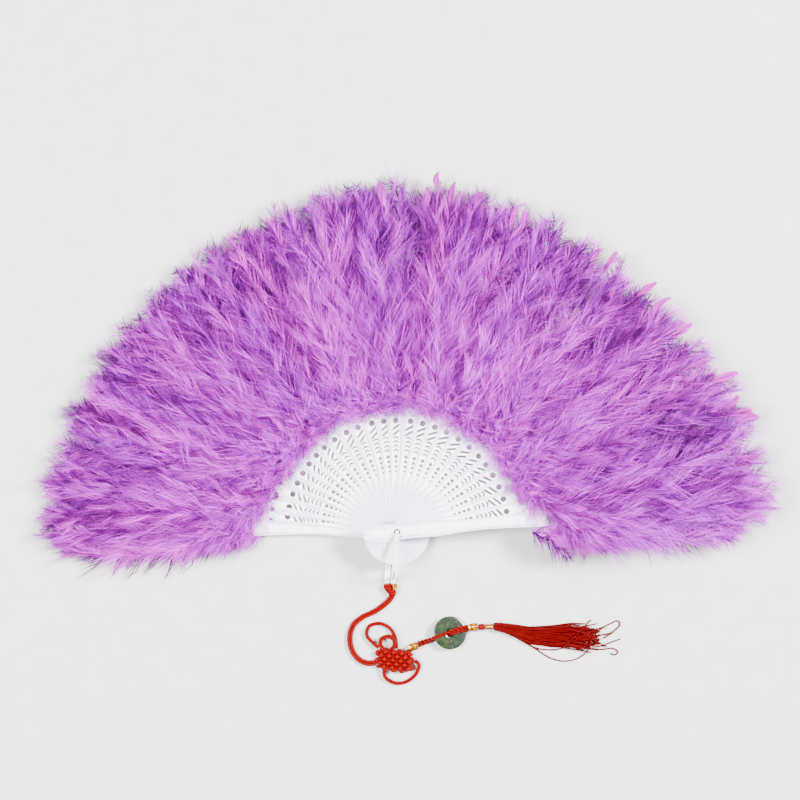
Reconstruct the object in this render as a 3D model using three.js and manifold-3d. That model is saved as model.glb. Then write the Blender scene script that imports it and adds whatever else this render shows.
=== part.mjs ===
import * as THREE from 'three';
import { mergeVertices } from 'three/addons/utils/BufferGeometryUtils.js';
import Module from 'manifold-3d';

// Folding feather fan lying open on a table. Lengths are in millimetres and angles in degrees.
// +Z is up, +X runs to the right of the open fan and +Y from the pivot towards its feathers.
// The fan is a stack of flat staves on one hollow rivet: rear guard, inner sticks, front guard.

// Opening: directions are measured about the pivot from +X
const rearGuardAngle = 178.8;
const frontGuardAngle = 5.6;
const openAngle = rearGuardAngle - frontGuardAngle;
// How far along the opening each inner stick stands, from the rear guard to the front one
const stickTurnShares = [
  0.035, 0.065, 0.105, 0.141, 0.174, 0.208, 0.242, 0.275, 0.314, 0.356, 0.394, 0.437, 0.473,
  0.509, 0.553, 0.590, 0.628, 0.666, 0.706, 0.747, 0.785, 0.819, 0.856, 0.895, 0.933, 0.971,
];
const stickCount = stickTurnShares.length;

// Stack: heights above the table
const guardUnderside = 5;
const guardThickness = 1.5;
const stickThickness = 0.6;
const stackGap = 0.1;
const stackPitch = stickThickness + stackGap;
const firstStickHeight = guardUnderside + guardThickness + stackGap;
const frontGuardHeight = firstStickHeight + stickCount * stackPitch;
const stackTop = frontGuardHeight + guardThickness;

// Heads: the short rounded ends on the near side of the pivot
const headLength = 24.2;
const headHalfWidth = 6.4;
const headShares = [[-1, 0], [-0.97, 0.4], [-0.82, 0.86], [-0.5, 1], [-0.1, 0.93]];

// Inner sticks: a pierced gorge and a narrow tang that carries the feathers
const gorgeLength = 88;
const gorgeHalfWidth = 6.4;
const gorgeShares = [
  [0.13, 0.86], [0.33, 0.97], [0.46, 0.66], [0.57, 0.62], [0.77, 0.83], [0.95, 0.98], [1, 0.9],
];
const stickStations = 12;
const shoulderLength = 3;
const tangEnd = 160;
const tangHalfWidth = 2.5;
const tangTipHalfWidth = 1.4;

// Guards: the two smooth outer staves
const guardLength = 185;
const guardHalfWidth = 6.2;
const guardShares = [
  [0.06, 0.85], [0.157, 0.91], [0.25, 0.72], [0.34, 0.66], [0.42, 0.75],
  [0.58, 0.97], [0.7, 0.95], [0.86, 0.78], [0.97, 0.46], [1, 0],
];
const guardStations = 20;
const guardBevel = 0.4;
const panelRaise = 0.4;
const panelStart = 16;
const panelEnd = 84;
const panelWidthShare = 0.72;
const panelStations = 8;

// Piercings of an inner stick, from the pivot outwards: setbacks run from the gorge's outer end
const diamondCount = 4;
const diamondSetback = 44.8;
const diamondPitch = 3.5;
const diamondHalfLength = 1.6;
const diamondHalfWidth = 1.5;
const smallestDiamondShare = 0.6;
const chevronCount = 4;
const chevronSetback = 30.4;
const chevronPitch = 3.05;
const chevronHalfWidth = 1.75;
const chevronGrowth = 0.1;
const chevronDepth = 1.3;
const chevronThickness = 1.4;
const slotCount = 2;
const slotSetback = 17.2;
const slotPitch = 4;
const slotHalfWidth = 2.7;
const slotGrowth = 0.2;
const slotHalfRise = 2;
const slotThickness = 2;
const eyeHoleSetback = 8.4;
const eyeHoleSize = 2.1;
const eyeHoleSides = 6;

// Pivot rivet: a hollow eyelet through every stave, with a flange at each end
const eyeletBoreRadius = 2.2;
const eyeletTubeRadius = 2.9;
const eyeletFlangeRadius = 3.8;
const eyeletFlangeThickness = 0.6;
const pivotClearance = 0.1;
const boreSides = 8;
// The bore's flats clear the tube, so its corners lie further out
const staveBoreRadius = (eyeletTubeRadius + pivotClearance) / Math.cos(Math.PI / boreSides);
const eyeletSides = 16;

// Link ribbon: glued across every stave just inside the feathers
const ribbonInner = 92.5;
const ribbonOuter = 104;
const ribbonThickness = 0.25;
const ribbonLift = 0.3;
const ribbonStepAngle = 3.8;
const ribbonHemAngle = 2.6;

// Plumes: one on each guard and one on each pair of inner sticks
const plumeInner = 106;
const plumeReach = 255;
const plumeRise = 14;
const plumeNeckDepth = 3;
const plumeNeckRise = 4;
const plumeOverhang = 18;
const plumeGap = 0.6;
const slotClearance = 0.3;
// Reach of each plume over the reach of the shortest one, from the rear guard to the front one
const plumeReachShares = [
  1, 0.99, 0.985, 0.98, 0.98, 0.98, 0.99, 1, 1, 0.995, 1, 1.01, 1.03, 1.05, 1.06,
];
// Stations along a plume: place along its length, width, drop to the table and rise to its crown
const plumeStationShares = [
  { along: 0, width: 0.6, drop: 0, rise: 0 },
  { along: 0.14, width: 0.96, drop: 0.1, rise: 0.8 },
  { along: 0.32, width: 1, drop: 0.22, rise: 1 },
  { along: 0.62, width: 1, drop: 0.5, rise: 0.85 },
  { along: 0.88, width: 0.98, drop: 0.85, rise: 0.2 },
  { along: 1, width: 0.8, drop: 1, rise: -0.4 },
];
// Section of a plume: share across its width and share of its height
const plumeSectionShares = [
  [0.1, 0], [0.9, 0], [1, 0.45], [0.84, 0.86], [0.5, 1], [0.16, 0.86], [0, 0.45],
];

// Cord work: routes are (x, y, z) from the pivot's foot on the table
const cordSides = 8;
const loopCordRadius = 1.4;
const loopSteps = 44;
const loopRoute = [
  [-2.7, -37.9, 3.2], [-2.7, -36.4, 3.6], [-2.5, -33.4, 10], [-2.1, -30.6, 23], [-1.7, -27.6, 28.1],
  [-1.2, -20, 29.3], [-0.6, -10, 29.2], [-0.2, -3.6, 29.3], [0, -0.9, 28.3], [0, 0, 25.6], [0, 0, 16],
  [0, 0, 6.6], [0, -0.8, 2.9], [-0.7, -3.6, 1.6], [-3.4, -14, 1.6], [-6.2, -26, 1.6], [-7.2, -33, 2.4],
  [-7.3, -36.4, 3.2], [-7.3, -37.9, 3.2],
];
const tieCentre = [-5, -41.2, 3.2];
const tieLength = 5.6;
const tieHalfWidth = 3.9;
const tieHalfHeight = 2.4;
const barrelSides = 12;
const barrelShoulderShare = 0.82;
const redCordHalfWidth = 2.1;
const redCordHalfHeight = 1.05;
const redCordSteps = 22;
const redCordRoute = [
  [-5, -44.4, 3], [-5, -46, 2.7], [-5.8, -49.6, 1.6], [-8.8, -53.8, 1.3], [-16.1, -58.8, 1.3],
  [-25.9, -63.6, 1.3], [-31.3, -68.4, 1.3], [-34.1, -76.8, 1.3], [-32.8, -86.4, 1.4],
  [-27.9, -93.5, 1.9], [-21.6, -96.2, 2.9], [-16.4, -96.2, 3.2],
];
const knotCentre = [-1.8, -94.2, 3.3];
const knotLength = 27;
const knotWidth = 15;
const knotHeight = 6.2;
const knotCornerRadius = 5;
const knotBevel = 1.6;
const knotTilt = -6;
const knotCornerSteps = 4;
const earCordRadius = 1.15;
const largeEarSteps = 18;
const largeEarRoute = [
  [-13.4, -85, 3.3], [-17.6, -81.4, 3], [-22, -75.6, 2.6], [-20.3, -69.8, 2.2], [-13.3, -67.6, 2],
  [-5, -71.3, 2.2], [-0.9, -79.6, 2.8], [-0.4, -85.8, 3.3],
];
const innerEarSteps = 10;
const innerEarRoute = [
  [-10, -85.3, 3.3], [-10.9, -80.4, 2.9], [-7.6, -76.8, 2.6], [-4.3, -80.4, 2.9], [-4.6, -85.7, 3.3],
];
const lowerEarSteps = 18;
const lowerEarRoute = [
  [-9.6, -101.9, 3.3], [-8.8, -105.8, 2.8], [-3.6, -110, 2.2], [3.2, -110.8, 2], [10.1, -107.8, 2.2],
  [14.6, -102.4, 2.6], [15.8, -97.6, 3], [13, -94.2, 3.3],
];
const goldBeadRadius = 3.1;
const goldBeadLength = 7.4;
const beadFlatShare = 0.62;
const knotBeadCentre = [11.7, -84.4, 3.2];
const tasselBeadCentre = [54.8, -70.2, 4.1];
const tasselBeadAngle = 10;
const strandRadius = 0.9;
const overStrandSteps = 16;
const overStrandRoute = [
  [15.5, -81.4, 3.2], [17, -80.9, 3.5], [20.7, -79.6, 5.2], [25.4, -77.9, 8.2], [28.3, -76.9, 8.2],
  [34.8, -74.4, 6.9], [41.4, -71.9, 5.8], [47.1, -70.2, 4.8], [49.2, -69.9, 4.2], [50.5, -69.8, 4.1],
];
const underStrandSteps = 24;
const underStrandRoute = [
  [16.3, -83.4, 3.2], [17.7, -82.9, 3], [22.4, -81.2, 1.7], [27.1, -79.5, 1.2], [32.7, -77.4, 1.1],
  [35.7, -76.2, 1.2], [37.9, -75.4, 3.2], [40, -74.6, 5.7], [42.6, -73.7, 5.8], [46.8, -72.5, 4.9],
  [49.4, -72.1, 4.3], [50.9, -72, 4.1],
];
const discCentre = [38, -74.3, 2.2];
const discRadius = 12;
const discHoleRadius = 2.8;
const discThickness = 2.9;
const discEdge = 0.5;
const discTilt = 9.6;
const discLeanAngle = 20.8;
const discSides = 28;
const tasselAngle = 1;
const neckKnotCentre = [61.2, -69.9, 3.7];
const neckKnotLength = 4.2;
const neckKnotRadius = 2.4;
const wrapCentre = [66.6, -69.9, 3.2];
const wrapLength = 5.6;
const wrapRadius = 2.2;
const tasselStart = 70;
const tasselLength = 92;
const tasselDrop = 69.9;
const tasselHeight = 3.6;
const tasselLift = 0.4;
// Outline of the spread strands: share along their length and share across it, to the left and right
const tasselLeftShares = [
  [0, 0.035], [0.12, 0.065], [0.36, 0.05], [0.56, 0.04], [0.78, 0.06], [1, 0.03],
];
const tasselRightShares = [
  [1, -0.26], [0.84, -0.27], [0.6, -0.24], [0.4, -0.17], [0.2, -0.07], [0, -0.035],
];

// Cuts run past the faces that they cross by this much
const overrun = 2;

const plastic = new THREE.MeshStandardMaterial({ color: 0xf3effb, roughness: 0.35, metalness: 0 });
const feather = new THREE.MeshStandardMaterial({ color: 0xb94ad8, roughness: 0.9, metalness: 0 });
const ribbonFabric = new THREE.MeshStandardMaterial({ color: 0xe7b6e6, roughness: 0.6, metalness: 0 });
const ivoryPlastic = new THREE.MeshStandardMaterial({ color: 0xf4f0ea, roughness: 0.3, metalness: 0 });
const whiteCord = new THREE.MeshStandardMaterial({ color: 0xf4efe9, roughness: 0.8, metalness: 0 });
const redSatin = new THREE.MeshStandardMaterial({ color: 0xc8141c, roughness: 0.55, metalness: 0 });
const gold = new THREE.MeshStandardMaterial({ color: 0xd9a441, roughness: 0.3, metalness: 1 });
const jade = new THREE.MeshStandardMaterial({ color: 0x7f9a7c, roughness: 0.2, metalness: 0 });

const wasm = await Module();
wasm.setup();

function countTo(count, make) {
  return Array.from({ length: count }, (_, index) => make(index));
}

// A closed geometry as a solid that can be joined and cut
function toSolid(geometry) {
  const bare = geometry.clone();
  bare.deleteAttribute('normal');
  bare.deleteAttribute('uv');
  const merged = mergeVertices(bare);
  return new wasm.Manifold(new wasm.Mesh({
    numProp: 3,
    vertProperties: merged.attributes.position.array,
    triVerts: merged.index.array,
  }));
}

// The joined or cut solid as a geometry again
function fromSolid(solid) {
  const mesh = solid.getMesh();
  const geometry = new THREE.BufferGeometry();
  geometry.setAttribute('position', new THREE.BufferAttribute(mesh.vertProperties, mesh.numProp));
  geometry.setIndex(new THREE.BufferAttribute(mesh.triVerts, 1));
  geometry.computeVertexNormals();
  return geometry;
}

function addPiece(group, name, geometry, material) {
  const mesh = new THREE.Mesh(geometry, material);
  mesh.name = name;
  group.add(mesh);
  return mesh;
}

// Skins rings of points, each [x, y, z], into one closed body with flat fans at both ends
function loftRings(rings) {
  const sides = rings[0].length;
  const corners = rings.flat(2);
  const triangles = [];
  for (let ring = 0; ring < rings.length - 1; ring++) {
    for (let side = 0; side < sides; side++) {
      const here = ring * sides + side;
      const next = ring * sides + (side + 1) % sides;
      triangles.push(here, here + sides, next, next, here + sides, next + sides);
    }
  }
  const last = (rings.length - 1) * sides;
  for (let side = 1; side < sides - 1; side++) {
    triangles.push(0, side, side + 1, last, last + side + 1, last + side);
  }
  const geometry = new THREE.BufferGeometry();
  geometry.setAttribute('position', new THREE.Float32BufferAttribute(corners, 3));
  geometry.setIndex(triangles);
  geometry.computeVertexNormals();
  return geometry;
}

function shareToTurn(stave) {
  if (stave === 0) return 0;
  if (stave > stickCount) return 1;
  return stickTurnShares[stave - 1];
}

// Direction of a stave on the open fan: 0 is the rear guard, the last number the front guard
function staveAngle(stave) {
  return rearGuardAngle - shareToTurn(stave) * openAngle;
}

function stickHeight(stave) {
  return firstStickHeight + (stave - 1) * stackPitch;
}

function polar(radius, angle, height) {
  const turn = THREE.MathUtils.degToRad(angle);
  return [radius * Math.cos(turn), radius * Math.sin(turn), height];
}

function scaledPoints(shares, length, width) {
  return shares.map(([along, across]) => new THREE.Vector2(along * length, across * width));
}

// One side of a stave from the head's end outwards, as evenly spaced points of a smooth curve
function staveSide(bodyShares, bodyLength, bodyHalfWidth, stations) {
  const head = scaledPoints(headShares, headLength, headHalfWidth);
  const body = scaledPoints(bodyShares, bodyLength, bodyHalfWidth);
  return new THREE.SplineCurve([...head, ...body]).getPoints(stations);
}

// Closes a side and its mirror image into an outline
function mirroredShape(side) {
  const inner = side.filter((point) => point.y > 0);
  const back = inner.reverse().map((point) => new THREE.Vector2(point.x, -point.y));
  return new THREE.Shape([...side, ...back]);
}

function circlePoints(radius, sides) {
  return countTo(sides, (side) => {
    const turn = 2 * Math.PI * side / sides;
    return [radius * Math.cos(turn), radius * Math.sin(turn)];
  });
}

function holeThrough(points) {
  return new THREE.Path(points.map(([x, y]) => new THREE.Vector2(x, y)));
}

function roundHole(centre, radius, sides) {
  return holeThrough(circlePoints(radius, sides).map(([x, y]) => [centre + x, y]));
}

// Small lozenges that grow away from the pivot
function diamondHole(index) {
  const size = THREE.MathUtils.lerp(smallestDiamondShare, 1, index / (diamondCount - 1));
  const centre = gorgeLength - diamondSetback + index * diamondPitch;
  return holeThrough([
    [centre - size * diamondHalfLength, 0],
    [centre, -size * diamondHalfWidth],
    [centre + size * diamondHalfLength, 0],
    [centre, size * diamondHalfWidth],
  ]);
}

// Arrow heads that point away from the pivot, each a little wider than the one before
function chevronHole(index) {
  const tail = gorgeLength - chevronSetback + index * chevronPitch - chevronDepth / 2;
  const halfWidth = chevronHalfWidth + index * chevronGrowth;
  return holeThrough([
    [tail, -halfWidth],
    [tail + chevronThickness, -halfWidth],
    [tail + chevronThickness + chevronDepth, 0],
    [tail + chevronThickness, halfWidth],
    [tail, halfWidth],
    [tail + chevronDepth, 0],
  ]);
}

// Slanting slots, further from the pivot on the stave's right edge
function slotHole(index) {
  const centre = gorgeLength - slotSetback + index * slotPitch;
  const halfWidth = slotHalfWidth + index * slotGrowth;
  return holeThrough([
    [centre - slotHalfRise - slotThickness / 2, halfWidth],
    [centre + slotHalfRise - slotThickness / 2, -halfWidth],
    [centre + slotHalfRise + slotThickness / 2, -halfWidth],
    [centre - slotHalfRise + slotThickness / 2, halfWidth],
  ]);
}

function stickGeometry() {
  const side = staveSide(gorgeShares, gorgeLength, gorgeHalfWidth, stickStations);
  side.push(new THREE.Vector2(gorgeLength + shoulderLength, tangHalfWidth));
  side.push(new THREE.Vector2(tangEnd, tangTipHalfWidth));
  const shape = mirroredShape(side);
  shape.holes.push(roundHole(0, staveBoreRadius, boreSides));
  shape.holes.push(...countTo(diamondCount, diamondHole));
  shape.holes.push(...countTo(chevronCount, chevronHole));
  shape.holes.push(...countTo(slotCount, slotHole));
  shape.holes.push(roundHole(gorgeLength - eyeHoleSetback, eyeHoleSize, eyeHoleSides));
  return new THREE.ExtrudeGeometry(shape, { depth: stickThickness, bevelEnabled: false });
}

function guardSide() {
  return staveSide(guardShares, guardLength, guardHalfWidth, guardStations);
}

// Half width of a guard at a distance from the pivot, read off its outline
function guardHalfWidthAt(distance) {
  const side = guardSide();
  const next = side.findIndex((point) => point.x > distance);
  const step = (distance - side[next - 1].x) / (side[next].x - side[next - 1].x);
  return THREE.MathUtils.lerp(side[next - 1].y, side[next].y, step);
}

// Raised flat land that the thumb rests on, following the guard's waist
function gripPanelShape() {
  const side = countTo(panelStations + 1, (station) => {
    const distance = THREE.MathUtils.lerp(panelStart, panelEnd, station / panelStations);
    return new THREE.Vector2(distance, panelWidthShare * guardHalfWidthAt(distance));
  });
  return mirroredShape(side);
}

// A guard with its grip panel on the upper face
function guardGeometry() {
  const body = new THREE.ExtrudeGeometry(mirroredShape(guardSide()), {
    depth: guardThickness - 2 * guardBevel,
    bevelThickness: guardBevel,
    bevelSize: guardBevel,
    bevelOffset: -guardBevel,
    bevelSegments: 1,
  });
  body.translate(0, 0, guardBevel);
  const panel = new THREE.ExtrudeGeometry(gripPanelShape(), {
    depth: guardThickness / 2 + panelRaise,
    bevelEnabled: false,
  });
  panel.translate(0, 0, guardThickness / 2);
  const boreLength = guardThickness + 2 * overrun;
  const bore = new THREE.CylinderGeometry(staveBoreRadius, staveBoreRadius, boreLength, boreSides);
  bore.rotateX(Math.PI / 2);
  bore.translate(0, 0, guardThickness / 2);
  return fromSolid(toSolid(body).add(toSolid(panel)).subtract(toSolid(bore)));
}

// The rivet as one closed profile turned about the pivot: bore, tube and two flanges
function eyeletGeometry() {
  const low = guardUnderside - stackGap;
  const high = stackTop + stackGap;
  const profile = [
    [eyeletBoreRadius, low - eyeletFlangeThickness],
    [eyeletFlangeRadius, low - eyeletFlangeThickness],
    [eyeletFlangeRadius, low],
    [eyeletTubeRadius, low],
    [eyeletTubeRadius, high],
    [eyeletFlangeRadius, high],
    [eyeletFlangeRadius, high + eyeletFlangeThickness],
    [eyeletBoreRadius, high + eyeletFlangeThickness],
    [eyeletBoreRadius, low - eyeletFlangeThickness],
  ].map(([radius, height]) => new THREE.Vector2(radius, height));
  const geometry = new THREE.LatheGeometry(profile, eyeletSides);
  geometry.rotateX(Math.PI / 2);
  return geometry;
}

// Section of the ribbon at one direction, as a ring of four points
function ribbonStation(angle, height) {
  return [
    polar(ribbonInner, angle, height),
    polar(ribbonInner, angle, height + ribbonThickness),
    polar(ribbonOuter, angle, height + ribbonThickness),
    polar(ribbonOuter, angle, height),
  ];
}

// The ribbon climbs one stave at a time and steps up over the front guard
function ribbonGeometry() {
  const rearTop = guardUnderside + guardThickness + ribbonLift;
  const frontTop = stackTop + ribbonLift;
  const rearAngles = [rearGuardAngle + ribbonHemAngle, rearGuardAngle];
  const rings = rearAngles.map((angle) => ribbonStation(angle, rearTop));
  for (let stave = 1; stave <= stickCount; stave++) {
    rings.push(ribbonStation(staveAngle(stave), stickHeight(stave) + stickThickness + ribbonLift));
  }
  rings.push(ribbonStation(frontGuardAngle + ribbonStepAngle, frontTop));
  rings.push(ribbonStation(frontGuardAngle - ribbonHemAngle, frontTop));
  return loftRings(rings);
}

// Angle at a radius of a line that runs below the pivot, parallel to the X axis
function overhangAngle(radius) {
  return THREE.MathUtils.radToDeg(Math.asin(plumeOverhang / radius));
}

// Edge of a plume on its left or right: halfway to the next stave, or the loose edge past a guard
function plumeEdgeAngle(stave, side, radius) {
  const next = stave + side;
  if (next < 0) return 180 + overhangAngle(radius);
  if (next > stickCount + 1) return -overhangAngle(radius);
  const gapAngle = THREE.MathUtils.radToDeg(plumeGap / 2 / radius);
  return (staveAngle(stave) + staveAngle(next)) / 2 + side * gapAngle;
}

// One station of a plume as a ring of points at a constant radius
function plumeRing(station, firstStave, lastStave, height, reach) {
  const radius = THREE.MathUtils.lerp(plumeInner, reach, station.along);
  const left = plumeEdgeAngle(firstStave, -1, radius);
  const right = plumeEdgeAngle(lastStave, 1, radius);
  const middle = (left + right) / 2;
  const halfAngle = station.width * (left - right) / 2;
  const low = (1 - station.drop) * (height - plumeNeckDepth);
  const high = height + plumeNeckRise + station.rise * (plumeRise - plumeNeckRise);
  return plumeSectionShares.map(([across, up]) => polar(
    radius,
    THREE.MathUtils.lerp(middle + halfAngle, middle - halfAngle, across),
    THREE.MathUtils.lerp(low, high, up),
  ));
}

// A box that clears a tang or guard lying along +X from the pivot, turned to its direction
function slotSolid(angle, height, thickness, halfWidth, end) {
  const start = plumeInner - overrun;
  const length = end + slotClearance - start;
  const box = new THREE.BoxGeometry(length, 2 * (halfWidth + slotClearance), thickness + 2 * slotClearance);
  box.translate(start + length / 2, 0, height + thickness / 2);
  box.rotateZ(THREE.MathUtils.degToRad(angle));
  return toSolid(box);
}

function rearGuardSlot() {
  return slotSolid(rearGuardAngle, guardUnderside, guardThickness, guardHalfWidth, guardLength);
}

function frontGuardSlot() {
  return slotSolid(frontGuardAngle, frontGuardHeight, guardThickness, guardHalfWidth, guardLength);
}

function tangSlot(stave) {
  return slotSolid(staveAngle(stave), stickHeight(stave), stickThickness, tangHalfWidth, tangEnd);
}

// A soft body over one or two neighbouring staves, resting on the table and cut by their slots
function plumeGeometry(firstStave, lastStave, height, reachShare, slots) {
  const reach = reachShare * plumeReach;
  const rings = plumeStationShares.map((station) => plumeRing(station, firstStave, lastStave, height, reach));
  const body = toSolid(loftRings(rings));
  return fromSolid(slots.reduce((solid, slot) => solid.subtract(slot), body));
}

function twoDigits(number) {
  return String(number).padStart(2, '0');
}

function addStaves(group) {
  const rear = addPiece(group, 'rear_guard', guardGeometry(), plastic);
  rear.rotation.set(Math.PI, 0, THREE.MathUtils.degToRad(rearGuardAngle), 'ZYX');
  rear.position.z = guardUnderside + guardThickness;
  const stick = stickGeometry();
  for (let stave = 1; stave <= stickCount; stave++) {
    const mesh = addPiece(group, `stick_${twoDigits(stave)}`, stick, plastic);
    mesh.rotation.z = THREE.MathUtils.degToRad(staveAngle(stave));
    mesh.position.z = stickHeight(stave);
  }
  const front = addPiece(group, 'front_guard', guardGeometry(), plastic);
  front.rotation.z = THREE.MathUtils.degToRad(frontGuardAngle);
  front.position.z = frontGuardHeight;
}

function addPlumes(group) {
  const pairCount = stickCount / 2;
  const rearSlots = [rearGuardSlot()];
  const rear = plumeGeometry(0, 0, guardUnderside, plumeReachShares[0], rearSlots);
  addPiece(group, 'rear_guard_plume', rear, feather);
  for (let pair = 1; pair <= pairCount; pair++) {
    const first = 2 * pair - 1;
    const last = 2 * pair;
    const slots = [tangSlot(first), tangSlot(last)];
    if (pair === 1) slots.push(rearGuardSlot());
    if (pair === pairCount) slots.push(frontGuardSlot());
    const geometry = plumeGeometry(first, last, stickHeight(last), plumeReachShares[pair], slots);
    addPiece(group, `plume_${twoDigits(pair)}`, geometry, feather);
  }
  const lastStave = stickCount + 1;
  const frontShare = plumeReachShares[pairCount + 1];
  const frontSlots = [frontGuardSlot()];
  const front = plumeGeometry(lastStave, lastStave, frontGuardHeight, frontShare, frontSlots);
  addPiece(group, 'front_guard_plume', front, feather);
}

// A cord of oval section along a smooth curve through its route
function cordGeometry(route, halfHeight, halfWidth, steps) {
  const curve = new THREE.CatmullRomCurve3(route.map((point) => new THREE.Vector3(...point)));
  const circle = circlePoints(1, cordSides);
  const section = new THREE.Shape(circle.map(([x, y]) => new THREE.Vector2(x * halfHeight, y * halfWidth)));
  return new THREE.ExtrudeGeometry(section, { extrudePath: curve, steps, bevelEnabled: false });
}

function roundCord(route, radius, steps) {
  return cordGeometry(route, radius, radius, steps);
}

// A barrel about the X axis with sloping shoulders and flat ends
function barrelGeometry(length, radius, flatShare) {
  const shoulder = (1 - flatShare) * length / 2;
  const profile = [
    [0, -length / 2],
    [flatShare * radius, -length / 2],
    [radius, -length / 2 + shoulder],
    [radius, length / 2 - shoulder],
    [flatShare * radius, length / 2],
    [0, length / 2],
  ].map(([distance, height]) => new THREE.Vector2(distance, height));
  const geometry = new THREE.LatheGeometry(profile, barrelSides);
  geometry.rotateZ(-Math.PI / 2);
  return geometry;
}

function place(mesh, centre, angle) {
  mesh.position.set(...centre);
  mesh.rotation.z = THREE.MathUtils.degToRad(angle);
}

function roundedRectangle(length, width, radius) {
  const shape = new THREE.Shape();
  const x = length / 2 - radius;
  const y = width / 2 - radius;
  shape.absarc(x, y, radius, 0, Math.PI / 2);
  shape.absarc(-x, y, radius, Math.PI / 2, Math.PI);
  shape.absarc(-x, -y, radius, Math.PI, 3 * Math.PI / 2);
  shape.absarc(x, -y, radius, 3 * Math.PI / 2, 2 * Math.PI);
  return shape;
}

function knotGeometry() {
  const geometry = new THREE.ExtrudeGeometry(roundedRectangle(knotLength, knotWidth, knotCornerRadius), {
    depth: knotHeight - 2 * knotBevel,
    bevelThickness: knotBevel,
    bevelSize: knotBevel,
    bevelOffset: -knotBevel,
    bevelSegments: 1,
    curveSegments: knotCornerSteps,
  });
  geometry.translate(0, 0, knotBevel - knotHeight / 2);
  return geometry;
}

// A flat ring of stone with softened edges, its underside through the origin
function discGeometry() {
  const profile = [
    [discHoleRadius, 0],
    [discRadius - discEdge, 0],
    [discRadius, discEdge],
    [discRadius, discThickness - discEdge],
    [discRadius - discEdge, discThickness],
    [discHoleRadius, discThickness],
    [discHoleRadius, 0],
  ].map(([radius, height]) => new THREE.Vector2(radius, height));
  const geometry = new THREE.LatheGeometry(profile, discSides);
  geometry.rotateX(Math.PI / 2);
  return geometry;
}

// The spread strands as one flat body that narrows to the wrap
function tasselGeometry() {
  const outline = scaledPoints([...tasselLeftShares, ...tasselRightShares], tasselLength, tasselLength);
  return new THREE.ExtrudeGeometry(new THREE.Shape(outline), { depth: tasselHeight, bevelEnabled: false });
}

function addCordWork(group) {
  addPiece(group, 'hanging_loop', roundCord(loopRoute, loopCordRadius, loopSteps), whiteCord);
  const tieBarrel = barrelGeometry(tieLength, tieHalfWidth, barrelShoulderShare);
  const tie = addPiece(group, 'loop_tie', tieBarrel, redSatin);
  place(tie, tieCentre, 90);
  tie.scale.z = tieHalfHeight / tieHalfWidth;
  const doubledCord = cordGeometry(redCordRoute, redCordHalfHeight, redCordHalfWidth, redCordSteps);
  addPiece(group, 'red_cord', doubledCord, redSatin);
  place(addPiece(group, 'knot_body', knotGeometry(), redSatin), knotCentre, knotTilt);
  addPiece(group, 'knot_ear_large', roundCord(largeEarRoute, earCordRadius, largeEarSteps), redSatin);
  addPiece(group, 'knot_ear_inner', roundCord(innerEarRoute, earCordRadius, innerEarSteps), redSatin);
  addPiece(group, 'knot_ear_lower', roundCord(lowerEarRoute, earCordRadius, lowerEarSteps), redSatin);
}

function addDiscWork(group) {
  const bead = barrelGeometry(goldBeadLength, goldBeadRadius, beadFlatShare);
  place(addPiece(group, 'knot_bead', bead, gold), knotBeadCentre, discLeanAngle);
  addPiece(group, 'disc_strand_over', roundCord(overStrandRoute, strandRadius, overStrandSteps), redSatin);
  addPiece(group, 'disc_strand_under', roundCord(underStrandRoute, strandRadius, underStrandSteps), redSatin);
  const disc = addPiece(group, 'jade_disc', discGeometry(), jade);
  disc.rotation.set(0, THREE.MathUtils.degToRad(discTilt), THREE.MathUtils.degToRad(discLeanAngle), 'ZYX');
  disc.position.set(...discCentre);
  place(addPiece(group, 'tassel_bead', bead, gold), tasselBeadCentre, tasselBeadAngle);
  const neckBarrel = barrelGeometry(neckKnotLength, neckKnotRadius, beadFlatShare);
  place(addPiece(group, 'tassel_neck_knot', neckBarrel, redSatin), neckKnotCentre, tasselAngle);
  const wrapBarrel = barrelGeometry(wrapLength, wrapRadius, barrelShoulderShare);
  place(addPiece(group, 'tassel_wrap', wrapBarrel, gold), wrapCentre, tasselAngle);
  const strands = addPiece(group, 'tassel_strands', tasselGeometry(), redSatin);
  place(strands, [tasselStart, -tasselDrop, tasselLift], tasselAngle);
}

const fan = new THREE.Group();
addStaves(fan);
addPlumes(fan);
addPiece(fan, 'pivot_eyelet', eyeletGeometry(), ivoryPlastic);
addPiece(fan, 'link_ribbon', ribbonGeometry(), ribbonFabric);

const tassel = new THREE.Group();
addCordWork(tassel);
addDiscWork(tassel);

// The frame's origin is the middle of the fan's footprint, on the table
const assembly = new THREE.Group();
assembly.add(fan, tassel);
fan.updateMatrixWorld(true);
const footprint = new THREE.Box3().setFromObject(fan, true).getCenter(new THREE.Vector3());
assembly.position.set(-footprint.x, -footprint.y, 0);

export default assembly;
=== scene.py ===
# %% [markdown]
# A folding feather fan lies open on a table, seen from straight above. Twenty-eight plastic staves
# turn on one rivet, dyed down feathers are glued on their outer halves, and a red cord with a knot,
# a stone disc and a tassel hangs from a white loop. The imported model gives every piece its place,
# so the first step loads it. Nothing made here may reach far outside that box.

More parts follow.
